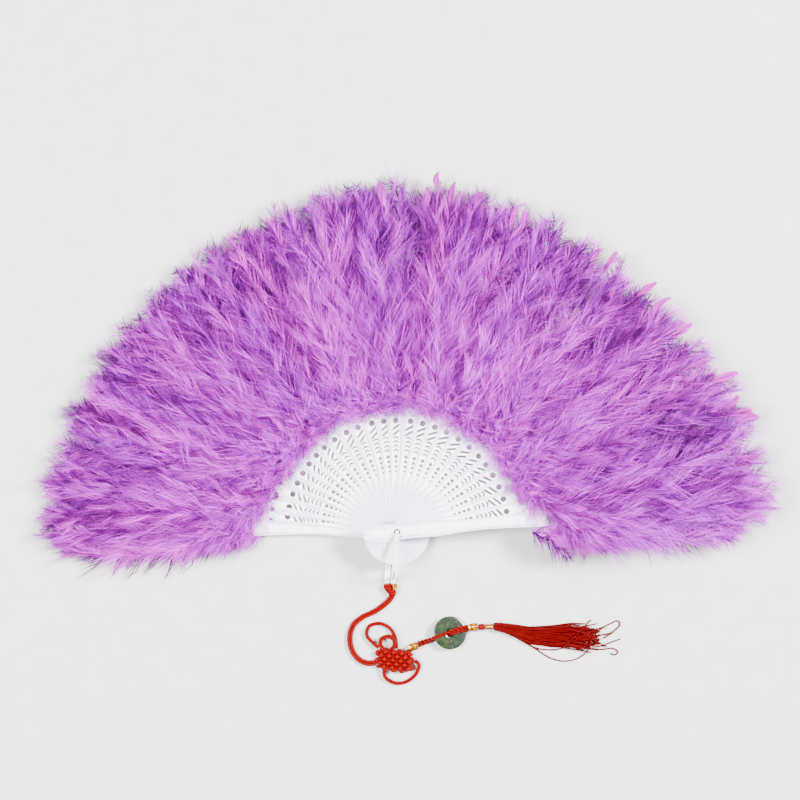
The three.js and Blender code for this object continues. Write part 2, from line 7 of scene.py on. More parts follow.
import bpy
import numpy as np
from mathutils.geometry import tessellate_polygon
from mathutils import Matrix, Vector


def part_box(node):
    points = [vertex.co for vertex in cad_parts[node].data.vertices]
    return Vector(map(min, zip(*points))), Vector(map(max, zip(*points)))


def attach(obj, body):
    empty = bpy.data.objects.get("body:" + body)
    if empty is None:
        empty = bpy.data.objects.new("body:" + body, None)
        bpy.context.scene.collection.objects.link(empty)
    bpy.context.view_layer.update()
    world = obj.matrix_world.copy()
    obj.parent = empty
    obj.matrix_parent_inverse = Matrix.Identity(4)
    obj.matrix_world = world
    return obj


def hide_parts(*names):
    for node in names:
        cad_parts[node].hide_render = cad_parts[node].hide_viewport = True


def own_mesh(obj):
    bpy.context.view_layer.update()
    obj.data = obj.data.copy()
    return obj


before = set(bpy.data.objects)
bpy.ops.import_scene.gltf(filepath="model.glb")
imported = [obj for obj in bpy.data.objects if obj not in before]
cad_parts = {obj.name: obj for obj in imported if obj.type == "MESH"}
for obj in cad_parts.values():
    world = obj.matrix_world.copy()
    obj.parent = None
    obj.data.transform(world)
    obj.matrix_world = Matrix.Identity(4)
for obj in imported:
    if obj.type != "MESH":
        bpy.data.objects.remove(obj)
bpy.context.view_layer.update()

# %% [markdown]
# The staves fan out from the rivet. Their directions and heights repeat the model's own numbers, in
# metres, because each new piece has to lie exactly on the body that carries it. A stave's own axes
# are "out" along it, "left" across it and "up", and one helper turns such points into their place.

# %% Sizes shared with the model
MM = 0.001
PIVOT = np.mean(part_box("pivot_eyelet"), axis=0) * [1, 1, 0]
REAR_ANGLE, FRONT_ANGLE = 178.8, 5.6
TURN_SHARES = np.array([
    0, 0.035, 0.065, 0.105, 0.141, 0.174, 0.208, 0.242, 0.275, 0.314, 0.356, 0.394, 0.437, 0.473,
    0.509, 0.553, 0.590, 0.628, 0.666, 0.706, 0.747, 0.785, 0.819, 0.856, 0.895, 0.933, 0.971, 1,
])
STAVES = len(TURN_SHARES)
FRONT = STAVES - 1
STAVE_ANGLES = REAR_ANGLE - TURN_SHARES * (REAR_ANGLE - FRONT_ANGLE)
STAVE_FLOORS = np.concatenate([[5.0], 6.6 + 0.7 * np.arange(STAVES - 2), [24.8]]) * MM
STICK_THICKNESS, GUARD_THICKNESS = 0.6 * MM, 1.5 * MM
UP = np.array([0.0, 0.0, 1.0])


def unit(vectors):
    """Each vector divided by its own length."""
    return vectors / np.linalg.norm(vectors, axis=-1, keepdims=True)


def turned_to(points, centre, angle):
    """Points turned about the vertical by an angle in degrees and moved to their centre."""
    turn = np.radians(angle)
    x, y, z = points[..., 0], points[..., 1], points[..., 2]
    turned_x = x * np.cos(turn) - y * np.sin(turn)
    turned_y = x * np.sin(turn) + y * np.cos(turn)
    return np.stack([turned_x, turned_y, z], axis=-1) + centre


def on_stave(points, stave):
    """Points (out, left, up) turned by the stave's angle and moved to the pivot."""
    return turned_to(points, PIVOT, STAVE_ANGLES[stave])


def body_of_stave(stave):
    """The model's body that carries a stave."""
    guards = {0: "rear_guard_set", FRONT: "front_guard_set"}
    return guards.get(stave, f"stick_{stave:02d}_set")


def joint_of_stave(stave):
    """The joint whose turn says how far the fan is closed at a stave."""
    return "fan_fold" if stave in (0, FRONT) else f"stick_{stave:02d}_turn"


print("staves", STAVES, "angles", STAVE_ANGLES.round(1).tolist())

# %% [markdown]
# The photograph looks straight down, with almost no perspective. A camera 1.6 m up with a long lens
# gives the same view: 576 mm of table across the picture, centred a little left of the rivet.

# %% Camera
VIEW_WIDTH = 0.576
CAMERA_HEIGHT = 1.6
VIEW_LEVEL = 0.012
VIEW_CENTRE = PIVOT + [0.00216, 0.0943, 0]
view = bpy.data.cameras.new("overhead")
view.sensor_width = 36
view.lens = view.sensor_width * (CAMERA_HEIGHT - VIEW_LEVEL) / VIEW_WIDTH
camera = bpy.data.objects.new("overhead", view)
camera.location = (VIEW_CENTRE[0], VIEW_CENTRE[1], CAMERA_HEIGHT)
bpy.context.scene.collection.objects.link(camera)
bpy.context.scene.camera = camera
print("lens", round(view.lens, 1))

# %% [markdown]
# Node trees are easier to read as sums. A Wire is one socket of a material, and adding, subtracting
# or multiplying wires puts Math nodes into the tree. Every other node comes from Recipe.node, which
# takes the node's type, its settings and the values or wires of its sockets.

# %% Recipes for materials


class Wire:
    """One output socket. Sums and products of wires become Math nodes."""

    def __init__(self, recipe, socket):
        self.recipe, self.socket = recipe, socket

    def maths(self, operation, first, second=0.0):
        return self.recipe.node("ShaderNodeMath", {"operation": operation}, {0: first, 1: second})

    def __add__(self, other):
        return self.maths("ADD", self, other)

    def __radd__(self, other):
        return self.maths("ADD", other, self)

    def __sub__(self, other):
        return self.maths("SUBTRACT", self, other)

    def __rsub__(self, other):
        return self.maths("SUBTRACT", other, self)

    def __mul__(self, other):
        return self.maths("MULTIPLY", self, other)

    def __rmul__(self, other):
        return self.maths("MULTIPLY", other, self)

    def sine(self):
        return self.maths("SINE", self)


class Recipe:
    """A material while its nodes are laid out."""

    def __init__(self, name):
        self.material = bpy.data.materials.new(name)
        self.material.use_nodes = True
        self.tree = self.material.node_tree
        self.tree.nodes.clear()

    def node(self, kind, settings=None, values=None, output=0):
        """A node of one kind: its settings are set first, with a ramp's stops, and then its sockets."""
        made = self.tree.nodes.new(kind)
        for name, value in (settings or {}).items():
            if name == "stops":
                ramp = made.color_ramp
                while len(ramp.elements) < len(value):
                    ramp.elements.new(0.5)
                for element, (place, colour) in zip(ramp.elements, value):
                    element.position = place
                    element.color = colour
            else:
                setattr(made, name, value)
        for key, value in (values or {}).items():
            if isinstance(value, Wire):
                self.tree.links.new(value.socket, made.inputs[key])
            else:
                made.inputs[key].default_value = value
        return Wire(self, made.outputs[output])

    def mix(self, factor, first, second):
        values = {0: factor, 6: first, 7: second}
        return self.node("ShaderNodeMix", {"data_type": "RGBA"}, values, output=2)

    def ramp(self, factor, stops):
        return self.node("ShaderNodeValToRGB", {"stops": stops}, {0: factor})

    def place(self):
        """Where a point lies in the axes of its own piece, in metres."""
        return self.node("ShaderNodeTexCoord", output=3)

    def lay(self, stretch=(1, 1, 1)):
        """The piece's own map, stretched by three numbers."""
        where = self.node("ShaderNodeUVMap", {"uv_map": "lay"})
        return self.node("ShaderNodeMapping", None, {"Vector": where, "Scale": stretch})

    def lay_numbers(self):
        """The two numbers of the piece's own map: along it, and round or across it."""
        split = self.node("ShaderNodeSeparateXYZ", None, {0: self.lay()})
        return split, Wire(self, split.socket.node.outputs[1])

    def noise(self, vector, scale, detail=2.0, roughness=0.5):
        values = {"Vector": vector, "Scale": scale, "Detail": detail, "Roughness": roughness}
        return self.node("ShaderNodeTexNoise", None, values)

    def bump(self, height, distance, strength=1.0):
        values = {"Height": height, "Distance": distance, "Strength": strength}
        return self.node("ShaderNodeBump", None, values)

    def surface(self, **sockets):
        """The finished material: a Principled shader, whose socket names get their spaces back."""
        values = {name.replace("_", " "): value for name, value in sockets.items()}
        shader = self.node("ShaderNodeBsdfPrincipled", None, values)
        end = self.tree.nodes.new("ShaderNodeOutputMaterial")
        self.tree.links.new(shader.socket, end.inputs["Surface"])
        return self.material


def paint(red, green, blue):
    """A colour as picked on a screen, 0 to 255, as the linear values that a shader takes."""
    share = np.array([red, green, blue]) / 255
    linear = np.where(share < 0.04045, share / 12.92, ((share + 0.055) / 1.055) ** 2.4)
    return (*linear.tolist(), 1.0)


# %% [markdown]
# Most pieces are grids of points worked out at once with numpy. A path is a smooth curve through a
# few chosen points. A tube is a ring of points carried along a path, and the faces between the
# rings, with a cap at each end, close it. One builder puts points and faces into a mesh.

# %% Paths, tubes and meshes


def smooth_path(points, count):
    """A curve through every point, count points evenly spaced along it. Between two points it is the
    cubic that starts and ends with the slope of the line through the neighbours on either side."""
    points = np.asarray(points, float)
    gaps = np.linalg.norm(np.diff(points, axis=0), axis=1)
    times = np.concatenate([[0], np.cumsum(gaps)])
    slopes = np.gradient(points, times, axis=0)
    fine = np.linspace(0, times[-1], 12 * count)
    span = np.clip(np.searchsorted(times, fine, side="right") - 1, 0, len(points) - 2)
    width = gaps[span][:, None]
    s = (fine - times[span])[:, None] / width
    curve = (
        (2 * s**3 - 3 * s**2 + 1) * points[span]
        + (s**3 - 2 * s**2 + s) * width * slopes[span]
        + (3 * s**2 - 2 * s**3) * points[span + 1]
        + (s**3 - s**2) * width * slopes[span + 1]
    )
    run = np.concatenate([[0], np.cumsum(np.linalg.norm(np.diff(curve, axis=0), axis=1))])
    even = np.linspace(0, run[-1], count)
    return np.column_stack([np.interp(even, run, curve[:, axis]) for axis in range(3)])


def path_length(path):
    """The sum of the steps from each point of a path to the next."""
    return float(np.linalg.norm(np.diff(path, axis=0), axis=1).sum())


def tube(path, radius, sides, reference=UP, flat=1.0):
    """Rings round one path or many: a ring point is the path's point plus its side vector times
    radius times the cosine of the turn, plus its lift vector times radius times flat times the
    sine. The side is square to the reference and the path, and the lift is square to both."""
    tangent = unit(np.gradient(path, axis=-2))
    side = unit(np.cross(reference, tangent))
    lift = np.cross(tangent, side)
    turn = np.linspace(0, 2 * np.pi, sides, endpoint=False)
    radius = np.asarray(radius, float)
    while radius.ndim < path.ndim:
        radius = radius[..., None]
    across = side[..., None, :] * np.cos(turn)[:, None] + lift[..., None, :] * flat * np.sin(turn)[:, None]
    return path[..., None, :] + across * radius[..., None]


def skin(shape):
    """Faces that close grids of rings: quads between neighbouring rings and a cap at each end. The
    shape is (rings, sides) or (grids, rings, sides), numbered in that order."""
    rings, sides = shape[-2:]
    index = np.arange(int(np.prod(shape))).reshape(-1, rings, sides)
    onward = np.roll(index, -1, axis=2)
    quads = np.stack([index[:, :-1], onward[:, :-1], onward[:, 1:], index[:, 1:]], axis=-1)
    return [quads.reshape(-1, 4), index[:, 0, ::-1], index[:, -1]]


def lay_map(shape, length):
    """Texture places for the faces of skin(): along the tube in millimetres, and round it from 0 to
    1, with the last strip ending at 1 so that the pattern has no torn seam."""
    rings, sides = shape[-2:]
    grids = int(np.prod(shape)) // (rings * sides)
    along, around = np.meshgrid(np.arange(rings - 1), np.arange(sides), indexing="ij")
    u = np.stack([along, along, along + 1, along + 1], axis=-1) * (length / MM / (rings - 1))
    v = np.stack([around, around + 1, around + 1, around], axis=-1) / sides
    quads = np.tile(np.stack([u, v], axis=-1).reshape(-1, 2), (grids, 1))
    caps = np.tile(np.array([[0.0, 0.5]]), (grids * 2 * sides, 1))
    return np.concatenate([quads, caps])


def make(name, part, material, replaces, body="rear_guard_set"):
    """A new piece of one material that rides on a body of the model. A part is points, arrays of
    faces, and texture places or None."""
    points, faces, places = part
    mesh = bpy.data.meshes.new(name)
    points = np.asarray(points, float).reshape(-1, 3)
    corners = np.concatenate([face.ravel() for face in faces])
    sizes = np.concatenate([np.full(len(face), face.shape[1]) for face in faces])
    mesh.vertices.add(len(points))
    mesh.vertices.foreach_set("co", points.ravel())
    mesh.loops.add(len(corners))
    mesh.loops.foreach_set("vertex_index", corners)
    mesh.polygons.add(len(sizes))
    mesh.polygons.foreach_set("loop_start", np.concatenate([[0], np.cumsum(sizes)[:-1]]))
    mesh.polygons.foreach_set("use_smooth", np.full(len(sizes), True))
    mesh.update(calc_edges=True)
    if places is not None:
        mesh.uv_layers.new(name="lay").data.foreach_set("uv", places.ravel())
    mesh.materials.append(material)
    piece = bpy.data.objects.new(name, mesh)
    bpy.context.scene.collection.objects.link(piece)
    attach(piece, body)
    if replaces:
        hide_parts(*replaces)
    print(f"{name}: {int((sizes - 2).sum())} triangles")
    return piece


def gather(parts):
    """Several (points, faces, places) sets as one: each set's face numbers start after the points of
    the sets before it. Texture places follow the order of the faces."""
    points, faces, places, start = [], [], [], 0
    for part_points, part_faces, part_places in parts:
        flat = part_points.reshape(-1, 3)
        points.append(flat)
        faces.extend(face + start for face in part_faces)
        places.append(part_places)
        start += len(flat)
    return np.concatenate(points), faces, np.concatenate(places)


def whole(grid, length=1 * MM):
    """A grid of rings, or a stack of such grids, with the faces and texture places that close it."""
    return grid, skin(grid.shape[:-1]), lay_map(grid.shape[:-1], length)


def moved(part, centre, angle):
    """A part turned about the vertical by an angle and moved to its centre."""
    points, faces, places = part
    return turned_to(points, centre, angle), faces, places


def twisted(path, radius, turns, sides=8):
    """Two tubes round one path: each centre lies half the radius away, along side times the cosine
    plus lift times the sine of an angle that grows evenly by the given number of turns. A tube is
    slightly thicker than half the radius, so the two sink a little into each other."""
    tangent = unit(np.gradient(path, axis=0))
    side = unit(np.cross(UP, tangent))
    lift = np.cross(tangent, side)
    spin = np.linspace(0, 2 * np.pi * turns, len(path))[:, None]
    parts = []
    for start in (0, np.pi):
        centre = path + 0.5 * radius * (side * np.cos(spin + start) + lift * np.sin(spin + start))
        parts.append(whole(tube(centre, 0.52 * radius, sides), path_length(path)))
    return gather(parts)


# %% [markdown]
# The cord work is satin: thin silk-like thread wound round a core, so it shows fine ribs across the
# cord and a soft line of light along it. The ribs are a sine wave along the cord's own map, leaned
# a little round it, which feeds both a bump and a slight change of red. The white loop is plaited
# from strands, and each strand has painted shade towards its sides, so that the gaps between them show.

# %% Finishes of the cords
THREAD_GRAIN = (0.3, 26, 1)


def satin_finish(name, deep, bright, ribs, lean):
    """Ribs: the sine of ribs times the distance along, plus lean turns round the cord."""
    recipe = Recipe(name)
    along, around = recipe.lay_numbers()
    wave = (along * ribs + around * (lean * 2 * np.pi)).sine() * 0.5 + 0.5
    grain = recipe.noise(recipe.lay(THREAD_GRAIN), 1.0, 3.0)
    colour = recipe.ramp(wave * 0.35 + grain * 0.65, [(0.25, deep), (0.7, bright)])
    rough = 0.3 + grain * 0.2
    normal = recipe.bump(wave * 0.6 + grain * 0.4, 0.00012, 0.7)
    return recipe.surface(Base_Color=colour, Roughness=rough, Normal=normal, Specular_IOR_Level=0.05)


red_satin = satin_finish("red_satin", paint(52, 0, 0), paint(122, 0, 1), 9.0, 1.0)
red_thread = satin_finish("red_thread", paint(18, 0, 0), paint(98, 0, 1), 5.0, 3.0)
red_strand = satin_finish("red_strand", paint(24, 0, 0), paint(124, 0, 1), 5.0, 3.0)


def plait_finish():
    """White strands with painted shade towards their sides: the square of the cosine of the turn round the
    strand, one above and below and nought beside, sets how white it is, so the plait's gaps show."""
    recipe = Recipe("white_plait")
    _, around = recipe.lay_numbers()
    # painted shade: a strand is white where it faces up or down and grey at its sides
    painted_light_share = (around * (2 * np.pi) + np.pi / 2).sine()
    grain = recipe.noise(recipe.lay(THREAD_GRAIN), 1.0, 3.0)
    colour = recipe.ramp(painted_light_share * painted_light_share * 0.88 + grain * 0.12, [
        (0.14, paint(70, 68, 80)), (0.4, paint(216, 212, 214)), (0.7, paint(255, 254, 252)),
    ])
    normal = recipe.bump(grain, 0.0001, 0.6)
    return recipe.surface(Base_Color=colour, Roughness=0.5, Normal=normal)


white_braid = plait_finish()

# %% [markdown]
# The routes repeat the model's own points, measured from the pivot's foot, so each cord lies where
# its solid lies. The loop comes up through the rivet, where it is drawn thinner, runs over the heads
# of the staves, and comes back underneath. It is a flat plait of three strands, which reads as a row
# of V shapes.

# %% The white loop


def from_pivot(points):
    """Points in millimetres from the pivot's foot, as places in the model."""
    return np.asarray(points, float) * MM + PIVOT


LOOP_ROUTE = from_pivot([
    [-2.7, -37.9, 3.2], [-2.7, -36.4, 3.6], [-2.5, -33.4, 10], [-2.1, -30.6, 23], [-1.7, -27.6, 28.1],
    [-1.2, -20, 29.3], [-0.6, -10, 29.2], [-0.2, -3.6, 29.3], [0, -0.9, 28.3], [0, 0, 25.6],
    [0, 0, 16], [0, 0, 6.6], [0, -0.8, 2.9], [-0.7, -3.6, 1.6], [-3.4, -14, 1.6], [-6.2, -26, 1.6],
    [-7.2, -33, 2.4], [-7.3, -36.4, 3.2], [-7.3, -37.9, 3.2],
])
LOOP_RADIUS, PINCHED_RADIUS = 2.0 * MM, 1.7 * MM
PINCH_REACH = 4 * MM
PLAIT_PITCH = 10.2 * MM
SIDEWAYS = np.array([1.0, 0.0, 0.0])


def plaited(path, radius, pitch, sides=9):
    """Three strands round one path, as a flat plait. A strand's centre lies sideways by 0.64 of the
    radius times the sine of an angle that grows one turn each pitch, and up by 0.2 of the radius
    times the sine of twice that angle. The three angles start a third of a turn apart. A flat band
    fills the middle as a painted shadow: its places make it as dark as the strands' sides."""
    tangent = unit(np.gradient(path, axis=0))
    rise = unit(np.cross(SIDEWAYS, tangent))
    level = np.cross(tangent, rise)
    length = path_length(path)
    turn = np.linspace(0, 2 * np.pi * length / pitch, len(path))[:, None]
    parts = []
    for start in np.radians([0, 120, 240]):
        swing = 0.64 * level * np.sin(turn + start) + 0.2 * rise * np.sin(2 * (turn + start))
        centre = path + radius[:, None] * swing
        parts.append(whole(tube(centre, 0.36 * radius, sides, SIDEWAYS), length))
    # painted shadow: a flat band, as dark as the strands' sides, fills the gaps of the plait
    shadow_band, shadow_band_faces, shadow_band_places = whole(tube(path, 0.2 * radius, sides, SIDEWAYS, 3.6), length)
    parts.append((shadow_band, shadow_band_faces, shadow_band_places * [1, 0] + [0, 0.25]))
    return gather(parts)


loop_path = smooth_path(LOOP_ROUTE, 420)
from_axis = np.hypot(*(loop_path - PIVOT)[:, :2].T)
freedom = np.clip(from_axis / PINCH_REACH, 0, 1)
loop_radii = PINCHED_RADIUS + (LOOP_RADIUS - PINCHED_RADIUS) * freedom
plait = plaited(loop_path, loop_radii, PLAIT_PITCH)
hanging_loop = make("hanging_loop_braid", plait, white_braid, ["hanging_loop"])
print("loop length in mm", round(path_length(loop_path) / MM, 1))

# %% [markdown]
# The red cord is one satin cord laid double, so it reads as a flat band with a groove along its
# middle. It is the pair of tubes of twisted() with no turns, so both lie side by side. The knot's ears
# are the same cord, thinner where it is pulled tight.

# %% The red cord and the knot's ears
RED_ROUTE = from_pivot([
    [-2.5, -43.6, 3], [-2.9, -45.4, 2.7], [-4.6, -49.2, 1.9], [-8.6, -53.4, 1.9], [-16.1, -58.8, 1.9],
    [-25.9, -63.6, 1.9], [-31.3, -68.4, 1.9], [-34.1, -76.8, 1.9], [-32.8, -86.4, 1.9],
    [-27.9, -93.5, 1.9], [-21.6, -96.2, 2.9], [-16.4, -96.2, 3.2],
])
EARS = {
    "knot_ear_large": from_pivot([
        [-13.4, -85, 3.3], [-17.6, -81.4, 3], [-22, -75.6, 2.6], [-20.3, -69.8, 2.2],
        [-13.3, -67.6, 2], [-5, -71.3, 2.2], [-0.9, -79.6, 2.8], [-0.4, -85.8, 3.3],
    ]),
    "knot_ear_inner": from_pivot([
        [-9.5, -86.4, 3.6], [-12, -82.8, 3.8], [-11.3, -78.8, 4], [-7, -76.8, 4.6], [-2.6, -78.6, 5],
        [-1.7, -82.6, 5], [-4.1, -86.4, 4.2],
    ]),
    "knot_ear_lower": from_pivot([
        [-9.6, -101.9, 3.3], [-8.8, -105.8, 2.8], [-3.6, -110, 2.2], [3.2, -110.8, 2],
        [10.1, -107.8, 2.2], [14.6, -102.4, 2.6], [15.8, -97.6, 3], [13, -94.2, 3.3],
    ]),
}
CORD_RADIUS, EAR_RADIUS = 2.05 * MM, 1.35 * MM
THICKER = {"knot_ear_inner": 1.15}


red_path = smooth_path(RED_ROUTE, 150)
doubled = twisted(red_path, CORD_RADIUS, 0, 14)
red_cord = make("red_cord_doubled", doubled, red_satin, ["red_cord"])
for name, route in EARS.items():
    ear_path = smooth_path(route, 90)
    doubled = twisted(ear_path, EAR_RADIUS * THICKER.get(name, 1), 0, 10)
    ear = make(name + "_cord", doubled, red_satin, [name])
print("red cord in mm", round(path_length(red_path) / MM, 1))

# %% [markdown]
# The knot is a flat weave of one cord. It runs to and fro along the knot and to and fro across it,
# and each crossing goes over, then under. A to-and-fro run is a row of straight passes joined by
# half circles, and its height is a cosine that changes sign from pass to pass, which makes the weave.

# %% The woven knot
KNOT_CENTRE = from_pivot([[-1.8, -94.2, 3.3]])[0]
KNOT_TILT = -6
LONG_PASSES, CROSS_PASSES = 5, 8
PASS_GAP, CROSS_GAP = 2.75 * MM, 2.95 * MM
HALF_LENGTH, HALF_WIDTH = 12.0 * MM, 6.2 * MM
WEAVE_RISE = 1.25 * MM
WEAVE_RADIUS = 1.22 * MM


def to_and_fro(passes, gap, half_run, crossing_gap, rise, per_pass=66):
    """Straight passes side by side, gap apart, joined by half circles, as (along, across, height).
    The height is rise times the cosine of the distance along over the crossing gap, with the sign of
    the pass, and it fades to nothing in the half circles."""
    along, across, height = [], [], []
    line = np.linspace(-half_run, half_run, per_pass)
    bow = np.linspace(-np.pi / 2, np.pi / 2, 10)[1:-1]
    for number in range(passes):
        way = 1 if number % 2 == 0 else -1
        middle = (number - (passes - 1) / 2) * gap
        along.append(way * line)
        across.append(np.full(per_pass, middle))
        shift = 0.5 * (crossing_gap if passes % 2 else 0)
        height.append(rise * way * np.cos(np.pi * (line * way + shift) / crossing_gap))
        if number < passes - 1:
            along.append(way * (half_run + np.cos(bow) * gap / 2))
            across.append(middle + gap / 2 + np.sin(bow) * gap / 2)
            height.append(np.linspace(height[-1][-1], -height[-1][-1] * 0.2, len(bow)))
    return np.concatenate(along), np.concatenate(across), np.concatenate(height)


def on_knot(x, y, z):
    """A path along, across and above the knot, turned and moved to where the knot lies."""
    return turned_to(np.stack([x, y, z], axis=-1), KNOT_CENTRE, KNOT_TILT)


x, y, z = to_and_fro(LONG_PASSES, PASS_GAP, HALF_LENGTH, CROSS_GAP, WEAVE_RISE)
long_path = smooth_path(on_knot(x, y, z), 520)
y, x, z = to_and_fro(CROSS_PASSES, CROSS_GAP, HALF_WIDTH, PASS_GAP, -WEAVE_RISE, 40)
cross_path = smooth_path(on_knot(x, y, z), 520)
weave = gather([whole(tube(path, WEAVE_RADIUS, 10), path_length(path)) for path in (long_path, cross_path)])
make("knot_body_woven", weave, red_satin, ["knot_body"])

# %% [markdown]
# The tie is where the red cord is hitched round the loop's two ends: four close turns of cord over a
# flat core. Each turn is a ring, swept as a tube round an oval. The tie's wrap of gold thread is wound
# as the tassel's is, so it is made beside it further down.

# %% The tie
TIE_CENTRE = from_pivot([[-5, -41.2, 3.2]])[0]
TIE_HALF_HEIGHT, TIE_CORD, TIE_CORE, TIE_FLATNESS = 1.3 * MM, 1.1 * MM, 2.6 * MM, 0.46
TIE_TURNS = [
    # step from the tie's centre sideways and along, half width, lean
    (-1.9, 1.3, 1.9, 0.3), (-1.7, -0.7, 2.0, -0.3), (0.9, -3.0, 2.1, 0.5), (1.6, -4.6, 1.9, 0.2),
]
TIE_CORE_ROUTE = np.array([[-1.9, 2.4, 0], [-1.6, -0.6, 0.1], [0.6, -2.8, 0.1], [1.9, -5.0, 0]])


def oval_ring(centre, half_width, half_height, radius, lean, count=48, sides=10):
    """A tube round an upright oval: the path's point is the centre plus half_width times the cosine
    sideways and half_height times the sine upwards, pushed along the cord by lean times the cosine."""
    turn = np.linspace(0, 2 * np.pi, count)
    oval = [half_width * np.cos(turn), lean * np.cos(turn), half_height * np.sin(turn)]
    path = centre + np.stack(oval, axis=-1)
    return whole(tube(path, radius, sides, np.array([0.0, 1.0, 0.0])), path_length(path))


turns = []
for aside, along, wide, lean in TIE_TURNS:
    centre = TIE_CENTRE + np.array([aside, along, 0]) * MM
    turns.append(oval_ring(centre, wide * MM, TIE_HALF_HEIGHT, TIE_CORD, lean * MM))
core_path = smooth_path(TIE_CENTRE + TIE_CORE_ROUTE * MM, 24)
turns.append(whole(tube(core_path, TIE_CORE, 18, UP, TIE_FLATNESS), 5 * MM))
make("loop_tie_turns", gather(turns), red_satin, ["loop_tie"])

# %% [markdown]
# Two small gold beads hold the stone disc between them. Each is a hollow filigree barrel: bright
# metal with little bosses and dark gaps. The barrel is a turned profile, and its radius carries the
# bosses as a product of two sine waves, so the metal catches light in points as the real one does.

# %% Gold, and the two beads


def gold_finish():
    """Bright metal with dark orange specks, which are slightly sunk."""
    recipe = Recipe("gold_filigree")
    speck = recipe.noise(recipe.place(), 900.0, 3.0)
    colour = recipe.ramp(speck, [(0.35, paint(110, 56, 8)), (0.62, paint(228, 150, 40))])
    normal = recipe.bump(speck, 0.00008, 0.6)
    return recipe.surface(Base_Color=colour, Metallic=1.0, Roughness=0.16 + speck * 0.2, Normal=normal)


gold = gold_finish()


def turned(profile, sides, bosses=None):
    """A profile of (along, radius) turned about the X axis. The bosses, if given, are (depth, around,
    along): the radius grows by depth times the product of the sine of the turn and of the place."""
    along, radius = np.asarray(profile, float).T
    turn = np.linspace(0, 2 * np.pi, sides, endpoint=False)
    rings = np.broadcast_to(radius[:, None], (len(along), sides)).copy()
    if bosses is not None:
        depth, around, waves = bosses
        share = np.linspace(0, 1, len(along))[:, None]
        ends = np.sin(np.pi * share) ** 0.5
        rings += depth * ends * np.sin(around * turn) * np.sin(waves * np.pi * share)
    x = np.broadcast_to(along[:, None], rings.shape)
    return np.stack([x, rings * np.cos(turn), rings * np.sin(turn)], axis=-1)


def barrel_profile(length, radius, end_share, count):
    """Places along a barrel and its radius there: end_share of the radius at both ends, and between
    them a swell of one minus the fourth power of the place, all to the power 0.4, so it is blunt."""
    place = np.sin(np.linspace(-np.pi / 2, np.pi / 2, count))
    swell = (1 - np.abs(place) ** 4) ** 0.4
    return np.stack([place * length / 2, radius * (end_share + (1 - end_share) * swell)], axis=-1)


BEAD_LENGTH, BEAD_RADIUS, BOSSES = 7.2 * MM, 2.75 * MM, (0.34 * MM, 6, 6)
RIM_PLACE, RIM_RADIUS, RIM_THREAD = 3.3 * MM, 1.75 * MM, 0.42 * MM
BEADS = {
    "knot_bead": (from_pivot([[11.7, -84.4, 3.2]])[0], 20.8),
    "tassel_bead": (from_pivot([[54.8, -70.2, 4.1]])[0], 10.0),
}
for name, (centre, angle) in BEADS.items():
    parts = [whole(turned(barrel_profile(BEAD_LENGTH, BEAD_RADIUS, 0.5, 34), 40, BOSSES))]
    for end in (-1, 1):
        ring = np.linspace(0, 2 * np.pi, 36)
        rim = [np.full(36, end * RIM_PLACE), RIM_RADIUS * np.cos(ring), RIM_RADIUS * np.sin(ring)]
        parts.append(whole(tube(np.stack(rim, axis=-1), RIM_THREAD, 8, SIDEWAYS)))
    make(name + "_filigree", moved(gather(parts), centre, angle), gold, [name])

# %% [markdown]
# Two strands tie the disc: one goes over it, one comes up through its hole. Each strand is itself two
# threads twisted together. A twisted strand is made by carrying two small tubes round one path: each
# centre is the path plus a small vector that turns steadily with the distance along.

# %% The twisted strands
STRANDS = {
    "disc_strand_over": from_pivot([
        [15.5, -81.4, 3.2], [17, -80.9, 3.5], [20.7, -79.6, 5.2], [25.4, -77.9, 8.2],
        [28.3, -76.9, 8.2], [34.8, -74.4, 6.9], [41.4, -71.9, 5.8], [47.1, -70.2, 4.8],
        [49.2, -69.9, 4.2], [50.5, -69.8, 4.1],
    ]),
    "disc_strand_under": from_pivot([
        [16.3, -83.4, 3.2], [17.7, -82.9, 3], [22.4, -81.2, 1.9], [27.1, -79.5, 1.6],
        [32.7, -77.4, 1.6], [35.7, -76.2, 1.7], [37.9, -75.4, 3.3], [40, -74.6, 5.7],
        [42.6, -73.7, 5.8], [46.8, -72.5, 4.9], [49.4, -72.1, 4.3], [50.9, -72, 4.1],
    ]),
}
STRAND_RADIUS, STRAND_TURNS = 1.35 * MM, 6
for name, route in STRANDS.items():
    path = smooth_path(route, 150)
    pair = twisted(path, STRAND_RADIUS, STRAND_TURNS)
    strand = make(name + "_twisted", pair, red_strand, [name])

# %% [markdown]
# The disc is a polished stone ring, jade green with darker clouds, pale veins and small rust flecks.
# Its profile is a flat ring with rounded rims, turned about its own axis, tilted where it leans on
# the strand below, and put in its place. The stone's pattern is noise pushed about by more noise.

# %% The stone disc
BLACK, WHITE = (0, 0, 0, 1), (1, 1, 1, 1)


